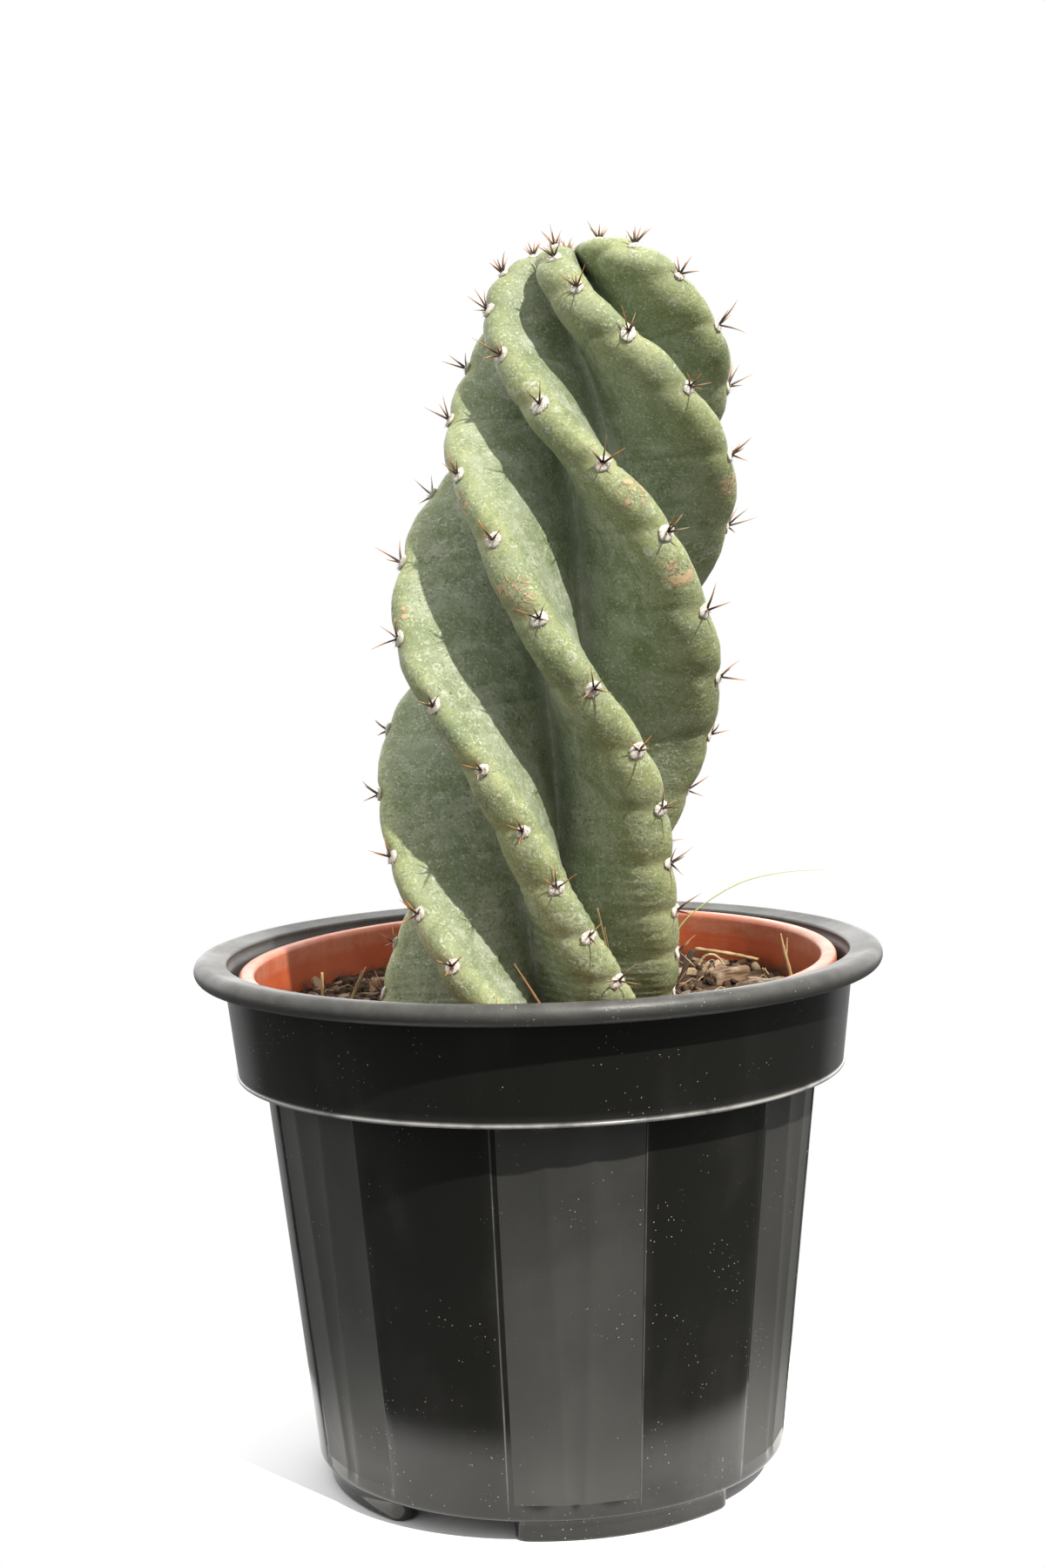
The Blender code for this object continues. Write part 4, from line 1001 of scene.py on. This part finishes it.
def outer_pot_profile():
    """(radius, height, share of the panels' relief) from the floor's underside over the rim to its top."""
    rim = (CAD_RIM_RADIUS - RIM_TUBE, POT_HEIGHT - RIM_TUBE)
    made = []

    def line(points, count=1):
        for start, end in zip(points, points[1:]):
            for t in np.arange(count) / count:
                made.append((start[0] + t * (end[0] - start[0]), start[1] + t * (end[1] - start[1]), 0.0))
        made.append((*points[-1], 0.0))

    line(arc((BODY_BOTTOM_RADIUS - BODY_EDGE, FOOT_HEIGHT + BODY_EDGE), BODY_EDGE, -90.0, -10.0, 8))
    low, high = FOOT_HEIGHT + BODY_EDGE + 0.0004, SHOULDER_LEVEL - 0.0022
    for share in np.linspace(0.0, 1.0, 44):
        radius = BODY_BOTTOM_RADIUS + share * (BODY_TOP_RADIUS - BODY_BOTTOM_RADIUS)
        made.append((radius, low + share * (high - low), float(smooth_step(0.0, 0.035, share))))
    line(arc((BODY_TOP_RADIUS + 0.0010, SHOULDER_LEVEL - 0.0012), 0.0010, 180.0, 90.0, 4))
    shoulder_edge = (COLLAR_BOTTOM_RADIUS - 0.0012, SHOULDER_LEVEL)
    line([(BODY_TOP_RADIUS + 0.0030, SHOULDER_LEVEL - 0.0002), shoulder_edge])
    line(arc((COLLAR_BOTTOM_RADIUS - 0.0003, SHOULDER_LEVEL + 0.0009), 0.0009, -85.0, 60.0, 8))
    collar_foot = (COLLAR_BOTTOM_RADIUS + 0.0001, SHOULDER_LEVEL + 0.0024)
    line([collar_foot, (COLLAR_TOP_RADIUS, rim[1] - 0.0034)], 14)
    line(arc((COLLAR_TOP_RADIUS + 0.0028, rim[1] - 0.0036), 0.0026, 175.0, 95.0, 5))
    line(arc(rim, RIM_TUBE, -112.0, 118.0, 22))
    inner = COLLAR_TOP_RADIUS - POT_WALL
    line(arc((inner + 0.0022, rim[1] + 0.0016), 0.0012, 100.0, 200.0, 6))
    line([(inner + 0.0008, rim[1] - 0.0012), (inner, rim[1] - 0.0020)])
    shoulder_top = (COLLAR_BOTTOM_RADIUS - POT_WALL, SHOULDER_LEVEL + POT_WALL)
    line([(inner - 0.0002, rim[1] - 0.0040), shoulder_top], 10)
    line([(BODY_TOP_RADIUS - POT_WALL, SHOULDER_LEVEL + POT_WALL * 0.6)])
    top_radius = BODY_TOP_RADIUS - POT_WALL - 0.0006
    bottom_radius = BODY_BOTTOM_RADIUS - POT_WALL - 0.0006
    line([(top_radius, SHOULDER_LEVEL - 0.0020), (bottom_radius, FLOOR_TOP + BODY_EDGE)], 12)
    line(arc((bottom_radius - BODY_EDGE, FLOOR_TOP + BODY_EDGE), BODY_EDGE, 0.0, -90.0, 6))
    return made


def foot_outline(middle_angle, inset):
    """A flat outline of one curved foot with round ends, drawn in by an inset."""
    middle_radius = FOOT_OUTER_RADIUS - FOOT_WIDTH / 2.0
    half_width = FOOT_WIDTH / 2.0 - inset
    half_span = FOOT_SPAN / 2.0 - FOOT_WIDTH / 2.0 / middle_radius
    points = []
    for direction in (1.0, -1.0):
        for turn in np.linspace(-half_span, half_span, 25):
            points.append(polar(middle_radius + direction * half_width, middle_angle + direction * turn, 0.0))
        end = middle_angle + direction * half_span
        centre = polar(middle_radius, end, 0.0)
        outwards = centre.normalized() * direction
        sideways = polar(direction, end + math.pi / 2.0, 0.0)
        for bend in np.radians(np.linspace(15.0, 165.0, 11)):
            points.append(centre + half_width * (math.cos(bend) * outwards + math.sin(bend) * sideways))
    return points


def worn_edges(rings, relief, columns, outside):
    """Where the plastic is made pale: the bead under the collar, partly rubbed and partly a painted highlight,
    and, a little, painted highlights along the panels' edges.
    """
    sides = np.array([side.startswith("plain_") for side, _ in columns] * PANEL_PAIRS, float)
    shares = [place if side == "plain_start" else 1.0 - place for side, place in columns]
    panel_edges = sides * np.exp(-((np.array(shares * PANEL_PAIRS) - 0.55) / 0.25) ** 2)
    bead = np.exp(-((rings[:, 0, 2] - SHOULDER_LEVEL - 0.0011) / 0.0007) ** 2) * outside
    bead = bead * (np.hypot(rings[:, 0, 0], rings[:, 0, 1]) > BODY_TOP_RADIUS + 0.008)
    return np.maximum(bead[:, None], 0.35 * relief[:, None] * panel_edges[None, :]).ravel()


def pot_finishes(rings, relief, columns, inner_from, face_count):
    """0 for a glossy face and 1 for a matte one: the fluted panels and the inside are matte."""
    fluted = np.array([side == "fluted" for side, _ in columns] * PANEL_PAIRS)
    walls = relief > 0.5
    faces = np.zeros((len(rings) - 1, rings.shape[1]), np.int32)
    faces[walls[:-1] & walls[1:]] = fluted.astype(np.int32)
    faces[inner_from:] = 1
    choice = np.zeros(face_count, np.int32)
    choice[:faces.size] = faces.ravel()
    return choice


def make_outer_pot(glossy, matte):
    """The shell of the outer pot, from its floor to its rolled rim."""
    columns = pot_columns()
    profile = outer_pot_profile()
    rings = []
    for radius, height, relief in profile:
        share = min(max((height - FOOT_HEIGHT) / (SHOULDER_LEVEL - FOOT_HEIGHT), 0.0), 1.0)
        ring = []
        for pair in range(PANEL_PAIRS):
            start = FIRST_PLAIN_PANEL + pair * 2.0 * math.pi / PANEL_PAIRS
            for side, place in columns:
                angle, depth = wall_relief(side, place, share)
                ring.append(polar(radius - relief * depth, start + angle, height))
        rings.append(ring)
    rings = np.array(rings)
    relief = np.array(profile)[:, 2]
    inner_from = int(np.argmax(rings[:, 0, 2] > POT_HEIGHT - 1.9 * RIM_TUBE))
    mesh = grid_mesh("outer_pot_shell", rings, (0.0, 0.0, FOOT_HEIGHT), (0.0, 0.0, FLOOR_TOP))
    points = np.array([v.co[:] for v in mesh.vertices])
    worn = worn_edges(rings, relief, columns, np.arange(len(rings)) < inner_from)
    add_values(
        mesh,
        low=1.0 - smooth_step(0.006, 0.050, points[:, 2]),
        rim=smooth_step(POT_HEIGHT - 2.0 * RIM_TUBE, POT_HEIGHT, points[:, 2]),
        worn=np.concatenate([worn, np.zeros(len(points) - len(worn))]),
    )
    shell = link("outer_pot_shell", mesh, glossy, matte, sharp=40.0)
    choice = pot_finishes(rings, relief, columns, inner_from, len(mesh.polygons))
    mesh.polygons.foreach_set("material_index", choice)
    cut_holes(shell, POT_DRAIN_COUNT, POT_DRAIN_CIRCLE, POT_DRAIN_RADIUS, Matrix.Identity(4), FOOT_HEIGHT)
    piece(shell, "black_plastic", "outer_pot")


def make_feet(finish):
    """The curved feet under the outer pot, drawn in a little where they meet its floor."""
    profile = arc((FOOT_ROUNDING, FOOT_ROUNDING), FOOT_ROUNDING, 270.0, 180.0, 6)
    profile += [(0.0, FOOT_HEIGHT * 0.5), (-0.0004, FOOT_HEIGHT - 0.0008), (-0.0016, FOOT_HEIGHT + 0.0004)]
    for foot in range(FOOT_COUNT):
        middle = FOOT_TURN + foot * 2.0 * math.pi / FOOT_COUNT
        points = []
        for inset, height in profile:
            points += [place + Vector((0.0, 0.0, height)) for place in foot_outline(middle, inset)]
        index = np.arange(len(points)).reshape(len(profile), -1)
        faces = faces_between(index) + [index[0, ::-1].tolist(), index[-1].tolist()]
        made = Parts("low")
        made.add(points, faces, low=1.0)
        piece(link(f"foot_{foot + 1}", made.mesh("foot"), finish, sharp=50.0), "black_plastic")


def cut_holes(target, count, circle, radius, place, level):
    """Drain holes through a pot's floor."""
    shape = bmesh.new()
    for hole in range(count):
        at = polar(circle, hole * 2.0 * math.pi / count, level)
        bmesh.ops.create_cone(
            shape, cap_ends=True, segments=40, radius1=radius, radius2=radius, depth=0.02,
            matrix=place @ Matrix.Translation(at),
        )
    mesh = bpy.data.meshes.new(target.name + "_holes")
    shape.to_mesh(mesh)
    shape.free()
    cutter = link(target.name + "_holes", mesh)
    change = target.modifiers.new("holes", "BOOLEAN")
    change.solver = "MANIFOLD"
    change.operation = "DIFFERENCE"
    change.object = cutter
    bpy.context.view_layer.update()
    graph = bpy.context.evaluated_depsgraph_get()
    whole = target.evaluated_get(graph)
    cut = bpy.data.meshes.new_from_object(whole, preserve_all_data_layers=True, depsgraph=graph)
    target.modifiers.clear()
    target.data = cut
    bpy.data.objects.remove(cutter, do_unlink=True)


def lean_matrix():
    """Where the inner pot stands, tipped on the low edge of its base."""
    low_side = polar(1.0, INNER_LEAN_TO, 0.0)
    axis = polar(1.0, INNER_LEAN_TO + math.pi / 2.0, 0.0)
    base = Vector((0.0, 0.0, FLOOR_TOP + FIT_GAP)) - INNER_HEIGHT * math.sin(INNER_LEAN) * low_side
    edge = base + INNER_BASE_RADIUS * low_side
    tip = Matrix.Translation(edge) @ Matrix.Rotation(INNER_LEAN, 4, axis) @ Matrix.Translation(-edge)
    return tip @ Matrix.Translation(base)


def inner_collar_radius(height):
    top = INNER_LIP_RADIUS - INNER_LIP_WIDTH + INNER_WALL
    share = (INNER_HEIGHT - INNER_LIP_DROP - height) / (INNER_COLLAR_HEIGHT - INNER_LIP_DROP)
    return top - INNER_COLLAR_TAPER * share


def inner_body_radius(height):
    top = BODY_TOP_RADIUS - POT_WALL - INNER_SIDE_CLEARANCE
    return INNER_BASE_RADIUS + (top - INNER_BASE_RADIUS) * height / (INNER_HEIGHT - INNER_COLLAR_HEIGHT)


def inner_pot_profile():
    """(radius, height) from under the base, up the outside, over the lip and down the inside."""
    lip_inner = INNER_LIP_RADIUS - INNER_LIP_WIDTH
    corner = INNER_LIP_WIDTH * 0.35
    top = INNER_HEIGHT - corner
    collar = inner_collar_radius
    body = inner_body_radius
    profile = [(INNER_BASE_RADIUS - 0.0012, 0.0), (INNER_BASE_RADIUS, 0.0012)]
    profile += [(body(h), h) for h in np.linspace(0.004, INNER_SHOULDER - 0.0004, 20)]
    profile += [(body(INNER_SHOULDER) + 0.0008, INNER_SHOULDER)]
    profile += [(collar(INNER_SHOULDER) - 0.0006, INNER_SHOULDER)]
    profile += [(collar(h), h) for h in np.linspace(INNER_SHOULDER + 0.0006, LIP_FOOT - 0.0006, 8)]
    profile += [(collar(LIP_FOOT) + 0.0006, LIP_FOOT), (INNER_LIP_RADIUS - 0.0008, LIP_FOOT)]
    profile += arc((INNER_LIP_RADIUS - 0.0008, LIP_FOOT + 0.0008), 0.0008, -70.0, 0.0, 4)
    profile += [(INNER_LIP_RADIUS, h) for h in np.linspace(LIP_FOOT + 0.002, top - 0.001, 4)]
    profile += arc((INNER_LIP_RADIUS - corner, top), corner, 0.0, 90.0, 10)
    profile += arc((lip_inner + corner, top), corner, 90.0, 180.0, 10)
    profile += [(lip_inner, h) for h in np.linspace(top - 0.001, LIP_FOOT + 0.001, 5)]
    collar_heights = np.linspace(LIP_FOOT - 0.001, INNER_SHOULDER + 0.003, 16)
    profile += [(collar(h) - INNER_WALL, h) for h in collar_heights]
    profile += [(body(h) - INNER_WALL, h) for h in np.linspace(INNER_SHOULDER, 0.008, 16)]
    return profile + [(INNER_BASE_RADIUS - 0.004, INNER_WALL)]


def make_inner_pot(lean, finish):
    """The inner pot, a little out of round towards its lip."""
    rings = turned_rings(inner_pot_profile(), INNER_STEPS)
    turns = np.linspace(0.0, 2.0 * math.pi, INNER_STEPS, endpoint=False)
    uneven = 0.00028 * np.sin(3.0 * turns + 0.7) + 0.00015 * np.sin(7.0 * turns)
    high = smooth_step(0.12, INNER_HEIGHT, rings[:, :, 2])
    rings[:, :, :2] *= (1.0 + (uneven / INNER_LIP_RADIUS) * high)[:, :, None]
    mesh = grid_mesh("inner_pot", rings, (0.0, 0.0, 0.0), (0.0, 0.0, INNER_WALL))
    points = np.array([v.co[:] for v in mesh.vertices])
    add_values(
        mesh,
        lip=smooth_step(LIP_FOOT - 0.001, LIP_FOOT + 0.002, points[:, 2]),
        near_soil=1.0 - smooth_step(SOIL_LEVEL, SOIL_LEVEL + 0.007, points[:, 2]),
    )
    mesh.transform(lean)
    pot = link("inner_pot_shell", mesh, finish, sharp=35.0)
    cut_holes(pot, INNER_DRAIN_COUNT, INNER_DRAIN_CIRCLE, INNER_DRAIN_RADIUS, lean, 0.0)
    return piece(pot, "terracotta_plastic", "inner_pot")


# Soil and litter -------------------------------------------------------------------------------------------

def soil_level(x, y):
    """Height of the uneven potting mix in the inner pot's own frame."""
    lumps = 0.0024 * noise.noise(Vector((x, y, 0.3)) * 55.0)
    lumps += 0.0014 * noise.noise(Vector((x, y, 1.7)) * 160.0)
    grains = 0.0007 * noise.noise(Vector((x, y, 4.1)) * 520.0)
    return SOIL_LEVEL + 0.0008 + lumps + grains


def make_soil(lean, finish):
    """The potting mix: plain against the inner pot's wall, uneven on top."""
    wall = INNER_WALL + FIT_GAP
    edge = inner_collar_radius(SOIL_LEVEL) - wall
    profile = [(INNER_BASE_RADIUS - 0.006, wall), (inner_body_radius(0.006) - wall, 0.006)]
    profile += [(radius(INNER_SHOULDER) - wall, INNER_SHOULDER + wall)
                for radius in (inner_body_radius, inner_collar_radius)]
    profile += [(edge, SOIL_LEVEL - 0.004)]
    rings = turned_rings(profile, SOIL_STEPS).tolist()
    for ring in turned_rings([(radius, 0.0) for radius in np.linspace(edge, 0.004, SOIL_RINGS)], SOIL_STEPS):
        rings.append([(x, y, soil_level(x, y)) for x, y, _ in ring.tolist()])
    mesh = grid_mesh("soil", rings, (0.0, 0.0, wall), (0.0, 0.0, SOIL_LEVEL))
    mesh.transform(lean)
    return piece(link("potting_mix", mesh, finish), "soil_mix", "soil")


def soil_places(count, seed):
    """Seeded places on the potting mix between the stem and the wall, in the inner pot's frame."""
    draw = rng(seed)
    made = []
    while len(made) < count:
        x, y = draw.uniform(-LITTER_REACH, LITTER_REACH, 2)
        if math.hypot(x, y) < LITTER_REACH and math.hypot(x - STEM_PLACE, y) > STEM_CLEAR:
            made.append((x, y))
    return made, draw


def make_crumbs(lean, finish):
    """Loose crumbs and clods of the mix."""
    places, draw = soil_places(CRUMBS, 5)
    shape, faces = pebble_ball(2)
    turn = lean.to_3x3()
    made = Parts("pale")
    for x, y in places:
        size = 0.0007 + 0.0022 * draw.uniform(0.0, 1.0) ** 2.6
        lumps = 1.0 + 0.22 * draw.standard_normal(len(shape))[:, None] * 0.6
        stretch = draw.uniform(0.6, 1.25, 3) * size
        axes = np.array(Matrix.Rotation(draw.uniform(0.0, math.pi), 3, Vector(draw.normal(0.0, 1.0, 3))))
        middle = lean @ Vector((x, y, soil_level(x, y) + size * 0.35))
        pale = draw.choice([0.0, 0.15, 0.4, 1.0], p=[0.5, 0.25, 0.17, 0.08])
        made.add(np.array(middle) + (shape * lumps * stretch) @ axes @ np.array(turn).T, faces, pale=pale)
    return piece(link("crumbs", made.mesh("crumbs"), finish), "soil_mix")


def make_fibres(lean, finish):
    """Fine roots and fibres that lie on the mix."""
    places, draw = soil_places(FIBRES, 8)
    made = Parts()
    for x, y in places:
        heading = draw.uniform(0.0, 2.0 * math.pi)
        length = draw.uniform(0.005, 0.021)
        route = []
        for t in np.linspace(0.0, 1.0, 7):
            heading += draw.normal(0.0, 0.25)
            x += math.cos(heading) * length / 6.0
            y += math.sin(heading) * length / 6.0
            scale = min(1.0, LITTER_REACH / max(math.hypot(x, y), 1e-6))
            lift = 0.0008 + 0.0022 * math.sin(math.pi * t) * draw.uniform(0.2, 1.0)
            route.append(lean @ Vector((x * scale, y * scale, soil_level(x * scale, y * scale) + lift)))
        radius = draw.uniform(0.00013, 0.00030)
        points, faces = tube(route, [radius] * len(route), 5)
        made.add(points, faces)
    return piece(link("fibres", made.mesh("fibres"), finish), "straw")


def make_chip(number, finish):
    """The CAD chip's own shape, cut fine and split along its grain."""
    node = NODES[f"bark_chip_{number:02d}"]
    shape = bmesh.new()
    shape.from_mesh(node.data)
    bmesh.ops.remove_doubles(shape, verts=shape.verts[:], dist=0.00002)
    for _ in range(2):
        bmesh.ops.subdivide_edges(shape, edges=shape.edges[:], cuts=2, use_grid_fill=True)
    bmesh.ops.triangulate(shape, faces=shape.faces[:])
    mesh = bpy.data.meshes.new("bark_chip")
    shape.to_mesh(mesh)
    shape.free()
    points = np.array([v.co[:] for v in mesh.vertices])
    middle = points.mean(axis=0)
    _, _, axes = np.linalg.svd(points - middle, full_matrices=False)
    grain = (points - middle) @ axes.T * BARK_GRAIN + number * 3.7
    normals = np.array([v.normal[:] for v in mesh.vertices])
    split = np.array([noise.fractal(Vector(p * np.array((0.45, 1.0, 1.0))), 1.0, 2.0, 3) for p in grain])
    broad = noise_of(points, 150.0, 2)
    moved = points + normals * (0.00055 * split + 0.0008 * broad)[:, None]
    mesh.vertices.foreach_set("co", moved.astype(np.float32).ravel())
    mesh.update()
    add_values(mesh, grain=grain, tone=np.full(len(points), 0.5 + 0.5 * math.sin(number * 2.3 + 0.6)))
    return piece(link(f"chip_{number:02d}", mesh, finish), "bark", node.name)


def make_flakes(lean, finish):
    """Small loose flakes of bark between the chips."""
    places, draw = soil_places(FLAKES, 13)
    block, block_faces = ball(8, 6)
    boxy = np.sign(block) * np.abs(block) ** 0.55
    made = Parts("grain", "tone")
    for number, (x, y) in enumerate(places):
        size = np.array([draw.uniform(*limits) for limits in (FLAKE_LENGTH, FLAKE_WIDTH, FLAKE_THICKNESS)])
        rough = 1.0 + 0.10 * draw.standard_normal(len(block))[:, None]
        spin = Matrix.Rotation(draw.uniform(0.0, 2.0 * math.pi), 3, "Z")
        roll = Matrix.Rotation(draw.normal(0.0, 0.35), 3, "X")
        pitch = Matrix.Rotation(draw.normal(0.0, 0.3), 3, "Y")
        turn = np.array(lean.to_3x3() @ spin @ (roll @ pitch))
        middle = lean @ Vector((x, y, soil_level(x, y) + size[2] * 0.9 + 0.0007))
        points = np.array(middle) + (boxy * rough * size) @ turn.T
        grain = boxy * size * BARK_GRAIN + number * 1.9
        made.add(points, block_faces, grain=grain, tone=draw.uniform(0.0, 1.0))
    return piece(link("bark_flakes", made.mesh("bark_flakes"), finish, sharp=50.0), "bark")


def make_pebble(finish):
    low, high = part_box("pebble")
    middle = (Vector(low) + Vector(high)) / 2.0
    half = (np.array(high) - np.array(low)) / 2.0
    shape, faces = pebble_ball(4)
    facets = np.sign(shape) * np.abs(shape) ** 0.8
    rough = 1.0 + 0.10 * noise_of(shape, 1.1, 3)[:, None] - 0.04
    made = Parts()
    made.add(np.array(middle) + facets * rough * half, faces)
    return piece(link("grit_stone", made.mesh("grit_stone"), finish), "dark_stone", "pebble")


def make_stalk(name, slot, shapes, finish):
    """One piece of several tubes: (points along it, radii from end to end, flatness, raggedness)."""
    around = np.arange(STALK_SIDES) * 2.0 * math.pi / STALK_SIDES
    made = Parts("grain", "along")
    for number, (places, radii, flatness, ragged) in enumerate(shapes):
        route = curve_through(places, [STALK_STEPS] * (len(places) - 1))
        count = len(route)
        shares = np.linspace(0.0, 1.0, count)
        swell = 1.0 + 0.10 * np.sin(np.arange(count) * 1.7 + number)
        reach = np.interp(shares, np.linspace(0.0, 1.0, len(radii)), radii) * swell
        points, faces = tube(route, reach, STALK_SIDES, flatness, ragged, number + len(name))
        turns = np.tile(around, count)
        along = np.repeat(shares, STALK_SIDES)
        grain = np.stack([along * 3.0, 2.6 * np.cos(turns), 2.6 * np.sin(turns)], axis=1) + number * 5.0
        made.add(points, faces, grain=grain, along=along)
    return piece(link(name, made.mesh(name), finish), slot, name.removesuffix("_look"))


def make_litter(pale_straw, brown_straw, twig, blade):
    """The standing and lying stalks, each along the route of its CAD solid."""
    for name, slot, shapes in LITTER:
        finish = {"bark": twig, "grass": blade}.get(slot, brown_straw if name in BROWN_STRAWS else pale_straw)
        make_stalk(name + "_look", slot, shapes, finish)


# Studio ----------------------------------------------------------------------------------------------------

def make_camera():
    lens = bpy.data.cameras.new("camera")
    lens.lens = CAMERA_LENS
    lens.sensor_width = 36.0
    made = bpy.data.objects.new("camera", lens)
    bpy.context.scene.collection.objects.link(made)
    turn = Matrix.Rotation(CAMERA_TURN, 4, "Z")
    pitch = Matrix.Rotation(math.pi / 2.0 - CAMERA_PITCH, 4, "X")
    roll = Matrix.Rotation(CAMERA_ROLL, 4, "Z")
    made.matrix_world = Matrix.Translation(CAMERA_PLACE) @ (turn @ pitch @ roll)
    bpy.context.scene.camera = made


def make_lights():
    sun = bpy.data.lights.new("key", "SUN")
    sun.energy = KEY_STRENGTH
    sun.angle = KEY_ANGLE
    sun.color = (1.0, 0.965, 0.90)
    made = bpy.data.objects.new("key", sun)
    bpy.context.scene.collection.objects.link(made)
    towards = polar(math.cos(KEY_ELEVATION), KEY_TURN, math.sin(KEY_ELEVATION))
    made.rotation_euler = towards.to_track_quat("Z", "Y").to_euler()


def make_world():
    """White for the camera; for the rest a white room: dimmer in front, bright behind and dark below."""
    world = bpy.data.worlds.new("studio")
    bpy.context.scene.world = world
    world.use_nodes = True
    world.node_tree.nodes.clear()
    g = Graph(world.node_tree)
    axes = g.node("ShaderNodeSeparateXYZ")
    g.wire(g.node("ShaderNodeTexCoord").outputs["Generated"], axes.inputs["Vector"])
    front = g.between(axes.outputs["Y"], *FRONT_FADES, ROOM_FRONT, ROOM_SIDES)
    back = g.between(axes.outputs["Y"], *BACK_FADES, 0.0, ROOM_BACK)
    above = g.between(axes.outputs["Z"], *GROUND_FADES, ROOM_GROUND, 1.0, "LINEAR")
    room = g.node("ShaderNodeBackground")
    backdrop = g.node("ShaderNodeBackground")
    for light, strength in ((room, g.times(g.plus(front, back), above)), (backdrop, 1.0)):
        g.wire((1.0, 1.0, 1.0), light.inputs["Color"])
        g.wire(strength, light.inputs["Strength"])
    choice = g.node("ShaderNodeMixShader")
    g.wire(g.node("ShaderNodeLightPath").outputs["Is Camera Ray"], choice.inputs[0])
    g.wire(room.outputs[0], choice.inputs[1])
    g.wire(backdrop.outputs[0], choice.inputs[2])
    g.wire(choice.outputs[0], g.node("ShaderNodeOutputWorld").inputs["Surface"])


def make_floor():
    """A pale round floor that fades into the backdrop."""
    rings = turned_rings([(FLOOR_RADIUS * share, -0.0002) for share in (1.0, 0.6, 0.3, 0.1)], 96)
    mesh = grid_mesh("floor", rings, None, (0.0, 0.0, -0.0002))
    f = Finish("studio_floor", roughness=0.9, specular=0.1)
    f.colour(f.mix(f.noise(8.0, 3.0), (0.93, 0.93, 0.93), (0.955, 0.955, 0.95)))
    far = f.node("ShaderNodeVectorMath", operation="LENGTH")
    f.wire(f.place, far.inputs[0])
    f.wire(f.between(far.outputs["Value"], FLOOR_FULL, FLOOR_RADIUS, 1.0, 0.0), f.shader.inputs["Alpha"])
    made = link("floor", mesh, f.material)


def main():
    bpy.context.scene.view_settings.view_transform = "Standard"
    skin, wool, needle = cactus_skin(), felt(), spine()
    glossy = pot_plastic("black_gloss", (0.0110, 0.0110, 0.0095), 0.09, 0.5, 0.055, 0.00001)
    matte = pot_plastic("black_matte", (0.036, 0.036, 0.032), 0.50, 0.5, 0.06, 0.00010)
    mix, chips, clay = soil_mix(), bark(), terracotta()
    pale_straw = straw("pale_straw", (0.560, 0.400, 0.210), (0.330, 0.205, 0.095))
    brown_straw = straw("brown_straw", (0.360, 0.190, 0.085), (0.150, 0.070, 0.032))
    twig = straw("twig", (0.110, 0.070, 0.045), (0.040, 0.026, 0.018))
    blade, stone = grass(), grit()
    lean = lean_matrix()
    stem = Stem()
    make_stem(stem, skin)
    make_cushions(stem.cushions(), wool, needle)
    make_outer_pot(glossy, matte)
    make_feet(glossy)
    make_inner_pot(lean, clay)
    make_soil(lean, mix)
    make_crumbs(lean, mix)
    make_fibres(lean, pale_straw)
    make_flakes(lean, chips)
    for number in range(1, CHIP_COUNT + 1):
        make_chip(number, chips)
    make_pebble(stone)
    make_litter(pale_straw, brown_straw, twig, blade)
    make_camera()
    make_lights()
    make_world()
    make_floor()


main()
